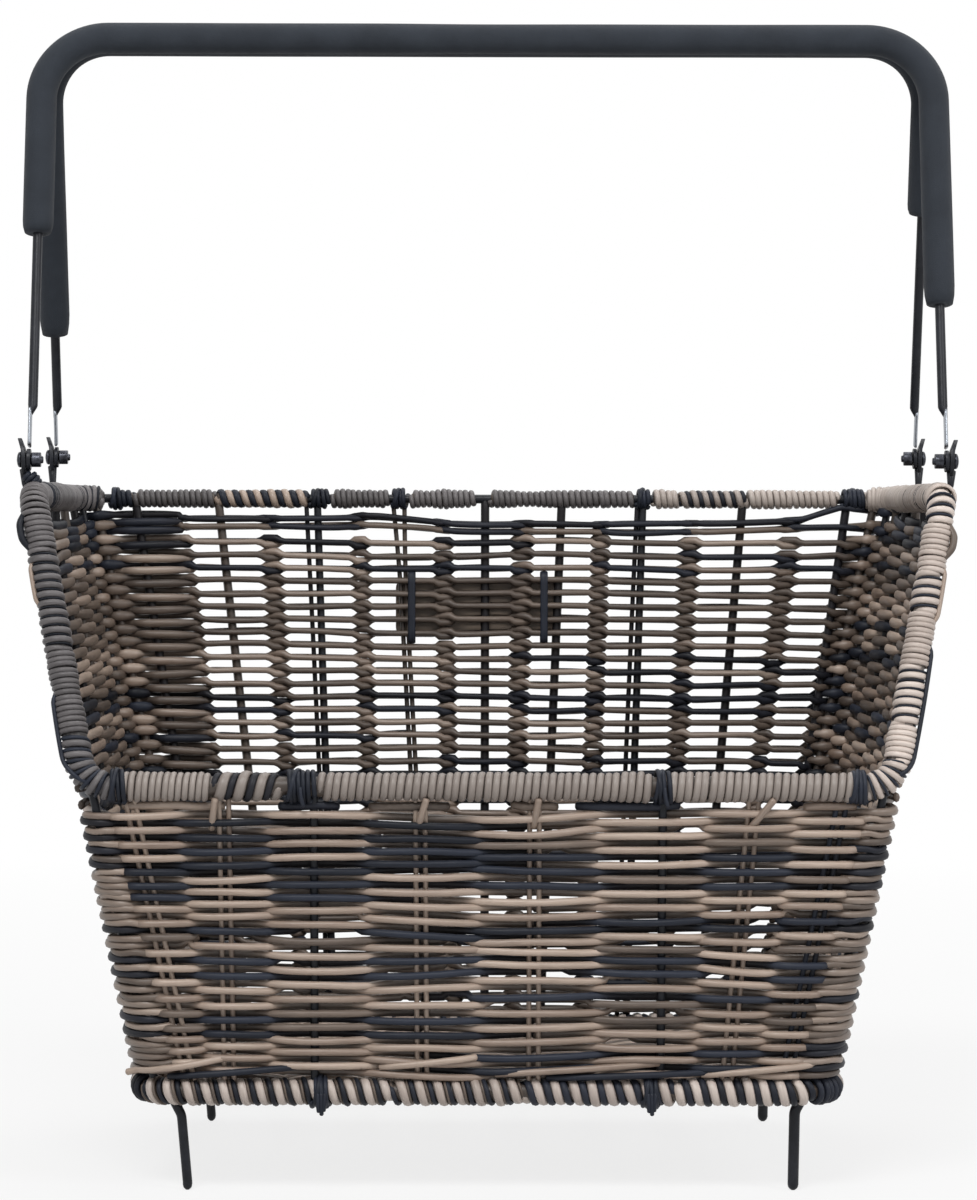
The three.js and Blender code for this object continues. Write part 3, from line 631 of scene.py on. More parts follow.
stacked = stackedShare()
onBack = stacked < 1
halfWidths = [stakes.halfWidths.get(kinds[column], stakes.otherHalf) for column in stakeColumns]
stakeHalf = np.interp(ringRun, ringRun[stakeColumns], halfWidths)
frontness = clipped((lowFrontBend[0, 1] + weave.frontReach - feet[:, 1]) / weave.frontReach)
frontStrand = weave.sideStrand + (weave.frontStrand - weave.sideStrand) * frontness
strandRadius = np.where(onBack, weave.backStrand, frontStrand) / 2
crossings = np.array([(ringRun[a] + ringRun[b]) / 2 for a, b in zip(stakeColumns, stakeColumns[1:])
                      if kinds[b] != "seam"])
fromCrossing = np.abs(ringRun[:, None] - crossings).min(1)
band = eased(clipped((weave.bandWidth / 2 - fromCrossing) / weave.bandEase + 0.5))
fadeIn, beyond, fadeOut = weave.cornerFades
atCorner = (eased(clipped((np.abs(feet[:, 0]) - lowFrontBend[0, 0]) / fadeIn))
            * eased(clipped((lowFrontBend[-1, 1] + beyond - feet[:, 1]) / fadeOut)))
driftKnots = rng.normal(0, weave.drift, (int(weave.rows / weave.driftRows) + 3,
                                         int(ringLength / weave.driftLength)))


def rowHeight(row):
    return weave.firstRow + weave.rowPitch * row


def driftAt(row):
    # The same field for all rows, so that neighbours move together
    place = row / weave.driftRows
    low = int(place)
    knots = driftKnots[low] + (driftKnots[low + 1] - driftKnots[low]) * eased(place - low)
    along = ringRun / ringLength * len(knots)
    index = along.astype(int) % len(knots)
    share = eased(along - along.astype(int))
    drift = knots[index] + (knots[(index + 1) % len(knots)] - knots[index]) * share
    return drift * (weave.driftOnBack + (1 - weave.driftOnBack) * frontness)


def windowShift(path, inside):
    # Lifts an inner strand out of each window that it would fill
    shift = np.zeros(len(path))
    for begin, end, height in frontWindows:
        along = np.minimum(path[:, 0] - begin, end - path[:, 0]) / weave.windowEase
        near = np.abs(path[:, 2] - height) < weave.rowPitch / 2
        shift += weave.windowLift * eased(clipped(along + 0.5)) * near * inside
    return shift * (path[:, 1] < lowFrontBend[0, 1] + 5)


def strandPath(columns, half, height, knot):
    turns = passed[columns] + half
    outside = depthAt(turns)
    twist = weave.rise * riseSign * np.sign(np.sin(math.pi * turns)) * knot
    level = height + (weave.stack * (1 - 2 * half)) * stacked[columns] + twist * (1 - stacked[columns])
    apart = strandRadius[columns] + stakeHalf[columns] - weave.squeeze
    path = onWall(columns, level) + outwards[columns] * (apart * outside)[:, None]
    path[:, 2] += windowShift(path, outside < -0.3)
    return path


def addStrand(columns, half, height, finish, twisted=1.0):
    # Off the back wall a strand is pressed taller where it lies clear of the other one
    height = height + smoothNoise(len(columns), *weave.waver)
    outside = depthAt(passed[columns] + half)
    inner, back, front = clipped(-outside), onBack[columns], frontness[columns]
    knot = band[columns] * twisted
    radius = strandRadius[columns] + weave.bandSwell * knot * back
    dense = ~back & (np.abs(feet[columns, 0]) < lowBackBend[-1, 0]) & (feet[columns, 1] > 0)
    sideTall = np.where(dense, weave.denseTall, weave.sideTall)
    tall = (1 - front) * np.maximum(np.abs(outside), weave.leastTall) * sideTall
    tall = tall + front * inner * weave.frontTall
    shade = np.where(back, weave.backShade, np.where(front > 0.5, inner * weave.frontShade, 0.0))
    shade = np.maximum(shade, weave.cornerShade * atCorner[columns])
    light, dark = weave.denseShades
    shade = np.where(dense, dark + (light - dark) * inner, shade)
    part = "lower" if height.mean() < weave.frontTop else "upper"
    path = strandPath(columns, half, height, knot)
    made = strand(path, upwards, radius + tall * ~back, along=radius, shade=shade)
    rowStrands[part][finish].append(made)


def frontFinish(side, row, half):
    fromTop = weave.frontTopRow - row
    for count, even, odd in frontBlocks[side]:
        if fromTop < count:
            return odd if half else even
        fromTop -= count
    return tan


def anyFinish(shares):
    return (tan, grey, black)[rng.choice(3, p=shares)]


def lowRow(row):
    # Four lengths for each strand, joined behind stakes
    level = rowHeight(row) + driftAt(row)
    for half in (0, 1):
        joins = [turn + half for turn in (-1, 5, backCorners[0] - 2, stakeCount - 7, -1)]
        looks = [frontFinish("right", row, half), anyFinish(rowShares["side"]), anyFinish(rowShares["back"]),
                 frontFinish("left", row, half)]
        for begin, end, finish in zip(joins, joins[1:], looks):
            first, last = columnWithTurn(begin), columnWithTurn(end)
            columns = np.arange(first, last + 1 + (columnCount if last <= first else 0)) % columnCount
            addStrand(columns, half, level[columns], finish)


def highRow(row):
    height, drift = rowHeight(row), driftAt(row)
    least = weave.shortest
    span = np.nonzero((heads[:, 2] > height + weave.rimGap) & (heads[:, 1] > outline.front[1] + 6))[0]
    for half in (0, 1):
        turns = (backCorners[0] - 2, backCorners[0] + 2 + 2 * rng.integers(0, 2), stakeCount - 7)
        inner = [columnWithTurn(turn + half) for turn in turns]
        inner = [column for column in inner if span[0] + least < column < span[-1] - least]
        joins = [span[0], *inner, span[-1]]
        for begin, end in zip(joins, joins[1:]):
            zone = "back" if middles[(begin + end) // 2, 1] > backFrom else "side"
            columns = np.arange(begin, end + 1)
            brown = zone == "back" and abs(height - badgeRows[0]) < badgeRows[1]
            addStrand(columns, half, height + drift[columns], grey if brown else anyFinish(rowShares[zone]))


def doubleLastRow():
    span = np.nonzero(heads[:, 2] > lastRow.heights[1] + weave.rimGap)[0]
    wave = smoothNoise(len(span), *lastRow.waver)
    (x, width), (y, depth) = lastRow.endX, lastRow.endY
    rightEnd = clipped((heads[span, 0] - x) / width) * clipped((middles[span, 1] - y) / depth)
    for index, height in enumerate(lastRow.heights):
        level = height + wave + index * rightEnd * lastRow.rightEndLift
        for half in (0, 1):
            addStrand(span, half, level, black if half else (grey, black)[index], lastRow.twisted)


def cornerHooks(row):
    # Short strands that fold round a front corner post where the row's own strand lies inside it
    drift = driftAt(row)
    for turn, half in ((4, 1), (stakeCount - 5, 0)):
        middle = columnWithTurn(turn)
        columns = np.arange(middle - cornerHook.columns, middle + cornerHook.columns + 1)
        count = len(columns)
        inwards = np.abs(np.linspace(-1, 1, count)) ** cornerHook.power * cornerHook.depth
        depth = strandRadius[columns] + stakes.halfWidths["corner"] - inwards
        depth = depth + smoothNoise(count, *cornerHook.depthNoise)
        level = rowHeight(row) + weave.stack * (1 - 2 * half) + drift[columns]
        level = level + smoothNoise(count, *cornerHook.levelNoise)
        path = onWall(columns, level) + outwards[columns] * depth[:, None]
        finish = anyFinish(cornerHook.shares)
        share, least = cornerHook.shades
        shade = np.maximum(weave.cornerShade * share * atCorner[columns], least)
        rowStrands["lower"][finish].append(strand(path, upwards, cornerHook.radius, shade=shade))


for row in range(weave.rows):
    if rowHeight(row) < weave.frontTop:
        lowRow(row)
        cornerHooks(row)
    else:
        highRow(row)
doubleLastRow()
for part, strands in rowStrands.items():
    for finish, tubes in strands.items():
        if tubes:
            stands = replacedByRows.get((part, finish), ())
            placeTubes(f"weave_rows_{part}_{slots[finish]}", tubes, finish, stands=stands)
print("rows woven")


# Loose strands on the outer face of the front wall: ends of the rim's wrap that go in behind the top
# row, strands under the rim, and the first strands over the bottom rim, which climb to the right

looseStrands = Settings(
    fromRim=[((-136, 201), (-138, 186)), ((-31, 201), (-35, 187)), ((25, 201), (22.5, 187)),
             ((142, 201), (131, 187))],
    underRim=[(-182, -132, tan), (-104, -75, black), (-59, -20, grey), (12, 34, grey), (44, 95, black),
              (158, 183, tan)],
    climbing=[((-181, 60), (-128, 70), tan), ((-160, 59.5), (-92, 65), black), ((-54, 64.5), (-6, 69.5), tan),
              ((4, 61), (86, 66.5), tan), ((108, 60.5), (165, 66), tan), ((30, 59), (112, 62), black)],
    radius=1.75, steps=15, rimDepth=5.6, rimDip=5.0, underRimHeight=197.3, underRimNoise=(0.35, 5),
    underRimRadii=(2.2, 1.7), underRimDepths=(2.4, -1.6), climbingDepths=(6.3, -1.0),
)


def alongFront(points, depths):
    # Points of the front wall, each (x, z), with a depth outwards
    front = np.nonzero(feet[:, 1] < lowFrontBend[0, 1] + 12)[0]
    made = []
    for (x, z), depth in zip(points, depths):
        lines = onWall(front, z)
        nearest = int(np.argmin(np.abs(lines[:, 0] - x)))
        made.append(arr(x, lines[nearest, 1], z) + outwards[front[nearest]] * depth)
    return np.array(made)


def makeLooseStrands():
    strands = bundle()
    look = looseStrands
    share = np.linspace(0, 1, look.steps)

    def between(begin, end):
        return arr(*begin) + (arr(*end) - arr(*begin)) * share[:, None]

    # The ends from the rim and the strands under it carry light painted shade
    for top, low in look.fromRim:
        path = alongFront(between(top, low), look.rimDepth - look.rimDip * share ** 3)
        strands[tan].append(tube(path, outwards[0], look.radius, tone=0.4, shade=0.2))
    (out, base), (tall, wide) = look.underRimDepths, look.underRimRadii
    for begin, end, finish in look.underRim:
        level = look.underRimHeight + smoothNoise(look.steps, *look.underRimNoise)
        points = np.stack([begin + (end - begin) * share, level], -1)
        path = alongFront(points, out * np.sin(math.pi * share) ** 0.5 + base)
        strands[finish].append(strand(path, upwards, tall, along=wide, shade=0.25))
    out, base = look.climbingDepths
    for begin, end, finish in look.climbing:
        depths = out * np.sin(math.pi * np.clip(share, 0.02, 0.98)) ** 0.35 + base
        path = alongFront(between(begin, end), depths)
        strands[finish].append(strand(path, upwards, look.radius))
    placeBundle("loose", strands, bySlot=True)


makeLooseStrands()


# Stakes: rods and strands, and the posts of the frame. Each rod has its shift at the foot and at the
# head, its width, its finish or None for grey or black, and how high it starts to go over to the head's.

stakeRods = {
    "pair": [(-2.4, -2.4, 2.6, tan, 0), (2.4, 2.4, 2.6, tan, 0)],
    "darkPair": [(-2.4, -2.4, 2.6, black, 0), (2.4, 2.4, 2.6, black, 0)],
    "parted": [(-1.5, -3.3, 2.6, grey, 0.82), (1.5, 3.3, 2.6, grey, 0.82)],
    "rod": [(0, 0, 4.8, None, 0)],
    "seam": [(0, 0, 4.8, None, 0)],
    "turn": {"right": [(-9, 0, 4.8, black, 0)], "left": [(0, 0, 4.8, black, 0)]},
    "backPost": {"right": [(5.2, 3.2, 2.6, black, 0.3)], "left": [(3.4, 6.3, 2.6, black, 0.3)]},
}
# frontShade and backShade are painted shade in the colour of the stake strands of the front and of the back
# walls
stakeLook = Settings(post=4.2, steps=44, noise=(0.2, 9), frontShade=0.1, backShade=0.78)


def stakePath(column, shift=0, topShift=0, part=0):
    foot, head = feet[column, 2], heads[column, 2]
    heights = np.linspace(foot, head, stakeLook.steps)
    line = onWall(np.full(len(heights), column), heights)
    up = clipped(((heights - foot) / (head - foot) - part) / (1 - part))
    sideways = np.cross(upwards, outwards[column])     # to the left as seen from the front, on the back wall
    return line + sideways * (shift + (topShift - shift) * up ** 1.5)[:, None]


def makeStakes():
    strands = bundle()
    posts = []
    for column in stakeColumns:
        kind, back = kinds[column], feet[column, 1] > 0
        if kind in ("post", "corner"):
            posts.append(tube(stakePath(column), outwards[column], stakeLook.post / 2, sides=16))
        rods = stakeRods.get("backPost" if kind == "post" and back else kind, [])
        if isinstance(rods, dict):
            rods = rods["right" if feet[column, 0] > 0 else "left"]
        for shift, topShift, width, finish, part in rods:
            finish = finish or (grey, black)[rng.integers(0, 2)]
            path = stakePath(column, shift, topShift, part)
            path = path + outwards[column] * smoothNoise(len(path), *stakeLook.noise)[:, None]
            shade = stakeLook.backShade if back else stakeLook.frontShade
            strands[finish].append(strand(path, outwards[column], width / 2, shade=shade))
    placeBundle("stakes", strands, bySlot=True)
    nodes = [f"{kind}_{side}" for kind in ("corner_post_front", "corner_post_back", "front_post", "back_post")
             for side in ("right", "left")]
    placeTubes("frame_posts", posts, "steel", stands=nodes)


makeStakes()
print("stakes made")


# Rails: a route with a centre and two directions square to it at every length along it

class Rail:
    reach = 2.5     # over which the direction is taken

    def __init__(self, points, closed=False):
        points = np.vstack([points, points[:1]]) if closed else points
        steps = np.linalg.norm(np.diff(points, axis=0), axis=1)
        self.points = np.vstack([points[:1], points[1:][steps > 1e-6]])
        self.run = np.r_[0, np.cumsum(np.linalg.norm(np.diff(self.points, axis=0), axis=1))]
        self.length = self.run[-1]

    def centre(self, lengths):
        return np.stack([np.interp(lengths, self.run, self.points[:, axis]) for axis in range(3)], -1)

    def frameAt(self, lengths):
        ahead = self.centre(np.minimum(lengths + self.reach, self.length))
        behind = self.centre(np.maximum(lengths - self.reach, 0))
        along = unit(ahead - behind)
        first = unit(upwards - (along @ upwards)[:, None] * along)
        return self.centre(lengths), along, first, np.cross(along, first)

    def lengthAtX(self, x):
        return float(np.interp(x, self.points[:, 0], self.run))


# A wound strand: steps of a turn, how many of its own heights the ends go under and over how many
# turns, how uneven it is, its pitch for its width, and how flat and how deep a narrow one lies
woundLook = Settings(steps=18, tuck=0.9, tuckTurns=0.3, fine=(0.12, 9), slow=(0.25, 110), waver=0.18,
                     waverLength=12, pitchShare=1.02, flattest=0.45, sunk=0.4)
rightLeft = (("right", 1), ("left", -1))


def woundTurns(rail, start, stop, look, angle=0.0, direction=1, shade=0.0):
    look = Settings({**woundLook, **look})
    turns = max(1.0, round((stop - start) / look.pitch * 2) / 2)
    count = int(turns * look.steps) + 1
    share = np.linspace(0, 1, count)
    centre, along, first, second = rail.frameAt(start + (stop - start) * share)
    theta = angle + direction * 2 * math.pi * turns * share
    tuck = clipped(np.minimum(share, 1 - share) * turns / look.tuckTurns)
    reach = look.radius - look.height / 2 - (1 - tuck) * look.height * look.tuck
    reach = reach + smoothNoise(count, *look.fine) + smoothNoise(count, *look.slow)
    radial = first * np.cos(theta)[:, None] + second * np.sin(theta)[:, None]
    waver = smoothNoise(count, look.waver, look.waverLength)
    path = centre + radial * reach[:, None] + along * waver[:, None]
    return strand(path, radial, look.height / 2, along=look.width / 2, shade=shade)


def wind(strands, rail, start, stop, look, *lengths, direction=1, shade=0.0):
    # Strands side by side, each a finish and a width; a narrow one lies a little deeper
    pitch = sum(width for _, width in lengths) * woundLook.pitchShare
    angle = rng.uniform(0, 6)
    widest = max(width for _, width in lengths)
    offset = 0.0
    for finish, width in lengths:
        middle = (offset + width / 2) / pitch * 2 * math.pi
        height = look.height * (woundLook.flattest + (1 - woundLook.flattest) * width / widest)
        own = {**look, "pitch": pitch, "width": width, "height": height,
               "radius": look.radius - (look.height - height) * woundLook.sunk}
        made = woundTurns(rail, start, stop, own, angle - direction * middle, direction, shade)
        strands[finish].append(made)
        offset += width


# A rim's core, under the wrap, with painted shade so that the gaps between the turns look dark
def core(rail, start, stop, radius):
    lengths = np.linspace(start, stop, max(3, int((stop - start) / 4)))
    centre, _, first, _ = rail.frameAt(lengths)
    return tube(centre, first, radius, sides=10, shade=0.7)


# Rim wraps. Each length of a wrap on the front and the back has the x of its two ends and its strands.
# On the sides it has its upper end, as a share of the rail, and the width of a thin dark strand or 0.

# shade, shades and shadeFrom are painted shade in the wraps' colour
rimLook = Settings(radius=7.5, height=3.0, core=5.1, parted=False, shade=0.68, shades={})
sideLook = Settings(heights=(2.8, 1.9), widths=(3.5, 2.8), core=5.3, shadeFrom=0.42, shade=0.42)
backLook = Settings(radius=5.3, height=2.4, core=3.38, parted=True, shade=0.0,
                    shades={ash: 0.32, pale: 0.45})
bottomLook = Settings(radius=7.3, height=3.4, waver=0.35, core=4.58, shade=0.15, lengths=(60, 150),
                      threeShare=0.6)
threeStrands = ((pale, 4.7), (grey, 1.6), (black, 2.7))
twoStrands = ((pale, 5.0), (black, 3.7))
blackCorners = [arr(-174.5, -88), arr(-171, -108), arr(163, -117.5), arr(174.5, -100)]   # ends of black parts
frontWraps = [
    (-190, -139, (pale, 3.3)), (-137.5, -104, (pale, 5.2), (black, 3.6)), (-84, 80.5, (pale, 3.9)),
    (88, 189, (pale, 3.9)),
]
backWraps = [
    (-208, -196.5, (black, 3.2)), (-196, -151, (ash, 3.1)), (-150.5, -99, (tan, 4.0), (black, 3.8)),
    (-85.5, -54, (ash, 3.0)), (-41.5, -6, (ash, 3.0)), (3, 83.5, (ash, 3.2)), (94, 109, (pale, 3.4)),
    (109, 146, (pale, 3.6), (black, 2.6)), (146, 198, (pale, 3.4)), (214, 222, (pale, 7.0)),
]
sideWraps = {
    "right": [(0.055, 1.5), (0.105, 0), (0.18, 1.2), (0.25, 0), (0.305, 1.2), (0.37, 0), (0.41, 1.3),
              (0.45, 0), (0.49, 1.8), (0.56, 0), (0.6, 1.8), (0.72, 0), (0.8, 1.8), (1.0, 0)],
    "left": [(0.09, 2.2), (0.2, 0), (0.33, 1.2), (0.5, 0), (0.62, 2.0), (0.8, 0), (1.0, 1.8)],
}
# Lengths of strand along the outer side of a rim, with their ends tucked under the wrap: ends as shares
# of the rail, height, radius and finish
proudLoops = {
    "right": [(0.03, 0.22, 0.9, 1.2, black), (0.23, 0.325, 0.5, 1.2, tan), (0.32, 0.375, 2.0, 1.9, grey),
              (0.55, 0.66, 1.6, 1.5, black)],
    "left": [(0.02, 0.155, 0.9, 1.2, black), (0.25, 0.33, 0.5, 1.2, tan), (0.33, 0.39, 2.2, 1.9, black),
             (0.6, 0.7, 1.6, 1.5, grey)],
}
proudLook = Settings(steps=34, tuckLength=9, tucked=-3.4, tuck=3.2, dip=-0.2)

topFront = Rail(acrossMiddle(topFrontBend[0]))
topBack = Rail(acrossMiddle(topBackBend[-1]))
topRails = {"right": Rail(topSide), "left": Rail(mirrored(topSide))}
wireLoops = {name: Rail(np.vstack([mirrored(half[::-1]), half]), closed=True)
             for name, half in (("top", topSide), ("bottom", lowSide))}


def makeStraightRim(label, rail, wraps, look, direction):
    strands = bundle()
    for start, stop, *lengths in wraps:
        start, stop = rail.lengthAtX(start), rail.lengthAtX(stop)
        shade = look.shades.get(lengths[0][0], look.shade)
        wind(strands, rail, start, stop, look, *lengths, direction=direction, shade=shade)
        if look.parted:
            strands[grey].append(core(rail, start + 1, stop - 1, look.core))
    if not look.parted:
        strands[grey].append(core(rail, 0, rail.length, look.core))
    placeBundle(f"{label}_rim", strands, [f"rim_wrap_{label}"])


def proudLoop(rail, start, stop, height, radius, sideways):
    share = np.linspace(0, 1, proudLook.steps)
    centre, _, first, second = rail.frameAt(start + (stop - start) * share)
    tuck = eased(clipped(np.minimum(share, 1 - share) * (stop - start) / proudLook.tuckLength))
    off = rimLook.radius + proudLook.tucked + proudLook.tuck * tuck + height * np.sin(math.pi * share) ** 0.8
    outer = unit(second * sideways + first * proudLook.dip)
    return strand(centre + outer * off[:, None], outer, radius)


def makeSideRims():
    # The right rim's plain strand is the pale finish, far lighter than the left's ash, partly its own colour
    # and partly painted light from the right; past shadeFrom of its length it gets painted shade
    for (side, direction), plain in zip(rightLeft, (pale, ash)):
        rail, strands = topRails[side], bundle()
        start = 0.0
        for stop, thin in sideWraps[side]:
            wide = 0 if thin else 1
            look = Settings(radius=rimLook.radius, height=sideLook.heights[wide])
            lengths = [(plain, sideLook.widths[wide])] + [(black, thin)] * bool(thin)
            shade = sideLook.shade if start > sideLook.shadeFrom and plain == pale else 0.0
            wind(strands, rail, start * rail.length, stop * rail.length, look, *lengths, direction=direction,
                 shade=shade)
            start = stop
        for start, stop, height, radius, finish in proudLoops[side]:
            loop = proudLoop(rail, start * rail.length, stop * rail.length, height, radius, direction)
            strands[finish].append(loop)
        strands[plain].append(core(rail, 0, rail.length, sideLook.core))
        placeBundle(f"{side}_rim", strands, [f"rim_wrap_{side}"])


def makeBottomRim():
    strands = bundle()
    rail, look = wireLoops["bottom"], bottomLook
    nearest = [np.linalg.norm(rail.points[:, :2] - spot, axis=1).argmin() for spot in blackCorners]
    ends = [float(rail.run[index]) for index in nearest]
    start = 0.0
    while start < rail.length - 1:
        stop = min([end for end in ends if end > start + 1] + [start + rng.uniform(*look.lengths)])
        lengths = threeStrands if rng.uniform() < look.threeShare else twoStrands
        if start in ends[::2]:
            lengths = ((black, 3.2),)
        if rail.length - stop < look.lengths[0]:
            stop = rail.length
        wind(strands, rail, start, stop, look, *lengths, shade=look.shade)
        start = stop
    strands[grey].append(core(rail, 0, rail.length - 0.5, look.core))
    placeBundle("bottom_rim", strands, [f"bottom_wrap_{part}" for part in ("front", "back", "right", "left")])


makeStraightRim("front", topFront, frontWraps, rimLook, -1)
makeSideRims()
makeStraightRim("back", topBack, backWraps, backLook, 1)
makeBottomRim()
print("rims wound")


# Frame wires

wireLook = Settings(radius=2.5, steps=420, sides=14)


def makeWires():
    for name, rail in wireLoops.items():
        lengths = np.linspace(0, rail.length, wireLook.steps, endpoint=False)
        centre, _, first, _ = rail.frameAt(lengths)
        wire = tube(centre, first, wireLook.radius, sides=wireLook.sides, closed=True)
        placeTubes(f"{name}_wire", [wire], "steel", stands=[f"{name}_frame_wire"])


makeWires()
print("wires bent")


# Ties: black strand wound over a rim and back across itself, some with loose ends. A tie has a rail,
# the two places along it and its radius and turns. A tail has a place, a drop and a lean.

tieLook = Settings(width=2.53, height=2.2, pitch=2.4, steps=26, waver=0.3, tuck=0.2, startAngle=2.2)
crossLook = Settings(over=0.5, share=0.8, startAngle=2.6)     # of the turn back across a tie
tailLook = Settings(out=1.2, bow=0.8, steps=12)
lowFrontRail = Rail(acrossMiddle(lowFrontBend[0]))
ties = {
    "front_corner": (topFront, (184.5, 184.5), 6.6, (3.5, 3.5), ()),
    "front_post": (topFront, (87, 94), 6.6, (3.5, 6), [(0.5, 9, 1.5)]),
    "bottom": (lowFrontRail, (82, 84), 6.4, (3.5, 3.5), [(-1.4, 9, 0.6), (0.4, 10.5, 0.2), (2.2, 8.5, -0.6)]),
    "back_corner": (topBack, (206.5, 206.5), 4.1, (5.5, 2.5), ()),
    "back_post": (topBack, (88.5, 93), 3.7, (3, 4), ()),
    "back_middle": (topBack, (-48,), 3.7, (3.5,), ()),
}
# It winds round the foot of a hinge stem: start from the rim's wire, inwards and up, and end, as x and z
shoulderTie = Settings(radius=4.3, width=2.6, height=2.4, pitch=2.2, waver=0.3, y=-78, start=(1.5, 4.5),
                       end=(-236.4, 363), share=0.8)


def tie(rail, x, radius, turns, tails):
    look = {**tieLook, "radius": radius + tieLook.height}
    half = turns * tieLook.pitch / 2
    length = rail.lengthAtX(x)
    made = [woundTurns(rail, length - half, length + half, look, tieLook.startAngle)]
    cross = {**look, "radius": look["radius"] + crossLook.over, "pitch": 2 * half}
    half *= crossLook.share
    made.append(woundTurns(rail, length - half, length + half, cross, crossLook.startAngle, -1))
    centre, along, _, second = (values[0] for values in rail.frameAt(np.array([length])))
    share = np.linspace(0, 1, tailLook.steps)[:, None]
    for sideways, drop, lean in tails:
        start = centre + second * (radius + tailLook.out) + along * sideways
        path = start - share * drop * upwards + along * lean * share ** 2
        made.append(tube(path + second * tailLook.bow * np.sin(share * 3), second, tieLook.height / 2))
    return made


def placeTies(name):
    rail, places, radius, turns, tails = ties[name]
    for (side, sign), x, count in zip(rightLeft, places, turns):
        node = f"tie_{name}_{side}" if len(places) > 1 else f"tie_{name}"
        placeTubes(f"{node}_cord", tie(rail, sign * x, radius, count, tails), black, stands=[node])


def placeShoulderTie(look):
    (inwards, above), (x, z) = look.start, look.end
    rail = Rail(np.array([mirrored(topAt(look.y)) + arr(inwards, 0, above), arr(x, look.y, z)]))
    placeTubes("tie_shoulder_left_cord", [woundTurns(rail, 0, rail.length * look.share, look)], black)


for name in ("front_corner", "front_post", "bottom", "back_corner", "back_post"):
    placeTies(name)
placeShoulderTie(shoulderTie)
placeTies("back_middle")
print("ties wound")


# Carrier hooks

hook = Settings(
    diameter={"right": 5.6, "left": 4.9}, tip={"right": 155.0, "left": 151.8}, sides=18,
    knee={"right": (155.6, 40), "left": (154.8, 38)}, bar=(160, 47.9), legY=109.3, straight=4,
    kneeRadius=9, elbowRadius=5.5,
    rounding=[(0.25, 0.45), (0.8, 0.72), (1.6, 0.9), (2.8, 1.0)],     # height and share of the radius
)


def hookLeg(side, y):
    tip, (kneeX, kneeZ), (barX, barZ) = hook.tip[side], hook.knee[side], hook.bar
    low, knee = arr(tip, y, hook.straight), arr(kneeX, y, kneeZ)
    elbow, middle = arr(barX, y, barZ), arr(barX, 0, barZ)
    end = [arr(tip, y, z) for z, _ in hook.rounding] + [low]
    bends = [bend(low, knee, elbow, hook.kneeRadius, 6), bend(knee, elbow, middle, hook.elbowRadius, 10)]
    return np.vstack([end, *bends])


def makeHooks():
    for side, sign in rightLeft:
        path = np.vstack([hookLeg(side, -hook.legY), hookLeg(side, hook.legY)[::-1]]) * arr(sign, 1, 1)
        radius = np.full(len(path), hook.diameter[side] / 2)
        for index, (_, share) in enumerate(hook.rounding):
            radius[[index, -1 - index]] *= share
        wire = tube(path, arr(1.0, 0.02, 0.05), radius, sides=hook.sides)
        placeTubes(f"hook_{side}", [wire], "steel", stands=[f"carrier_hook_{side}"])


makeHooks()
print("hooks bent")


# Woven floor

floorLook = Settings(width=337, depth=228, level=54.8, pitch=7.4, strand=2.9, stakeStrand=2.6, stakeGap=41.0,
                     stakeShift=1.6, stakes=4, stakeSteps=40, corner=20, step=3.2, sway=1.5, press=0.2,
                     swayPower=3, wavePower=0.8, noise=(0.25, 20))


def floorReach(distance, half, other):
    beyond = max(0, abs(distance) - (half - floorLook.corner))
    return other - floorLook.corner + math.sqrt(max(0, floorLook.corner ** 2 - beyond ** 2))


def powered(wave, power):
    return np.sign(wave) * np.abs(wave) ** power


def makeFloor():
    strands = bundle()
    look = floorLook
    halfX, halfY = look.width / 2, look.depth / 2
    apart = look.strand / 2 + look.stakeStrand / 2 - look.press
    rows = int(look.depth / look.pitch)
    for index in range(rows):
        y = (index - (rows - 1) / 2) * look.pitch
        reach = floorReach(y, halfY, halfX)
        x = np.linspace(-reach, reach, int(reach * 2 / look.step))
        angle = math.pi * (x / look.stakeGap + index % 2)
        wave = smoothNoise(len(x), *look.noise)
        for half, finish in ((0, tan), (1, grey)):
            turn = angle + math.pi * half
            path = np.stack([x, y + wave + look.sway * powered(np.sin(turn), look.swayPower),
                             look.level + apart * powered(np.cos(turn), look.wavePower)], -1)
            strands[finish].append(strand(path, upwards, look.strand / 2))
    for index in range(-look.stakes, look.stakes + 1):
        x = index * look.stakeGap
        reach = floorReach(x, halfX, halfY)
        for shift in (-look.stakeShift, look.stakeShift):
            steps = np.linspace(-reach, reach, look.stakeSteps)
            path = np.array([(x + shift, y, look.level) for y in steps])
            strands[tan].append(tube(path, upwards, look.stakeStrand / 2))
    placeBundle("floor_rows", strands, ["weave_floor"])


makeFloor()
print("floor woven")


# Flat parts, cut from an outline with holes and rounded along their edges

def circle(radius, count):
    angles = np.arange(count) / count * 2 * math.pi
    return [(radius * math.cos(a), radius * math.sin(a)) for a in angles]


def plateMesh(name, loops, thickness, rounding):
    curve = bpy.data.curves.new(name, "CURVE")
    curve.dimensions = "2D"
    curve.fill_mode = "BOTH"
    curve.extrude = (thickness / 2 - rounding) * mm
    curve.bevel_depth = rounding * mm
    curve.bevel_resolution = 3
    curve.offset = -rounding * mm
    for loop in loops:
        spline = curve.splines.new("POLY")
        spline.points.add(len(loop) - 1)
        spline.points.foreach_set("co", [c for x, y in loop for c in (x * mm, y * mm, 0, 1)])
        spline.use_cyclic_u = True
    holder = addObject(name, curve)
    bpy.context.view_layer.update()
    mesh = bpy.data.meshes.new_from_object(holder.evaluated_get(bpy.context.evaluated_depsgraph_get()))
    bpy.data.objects.remove(holder)
    return mesh


def pointsOf(mesh):
    return np.array([vertex.co for vertex in mesh.vertices]) / mm


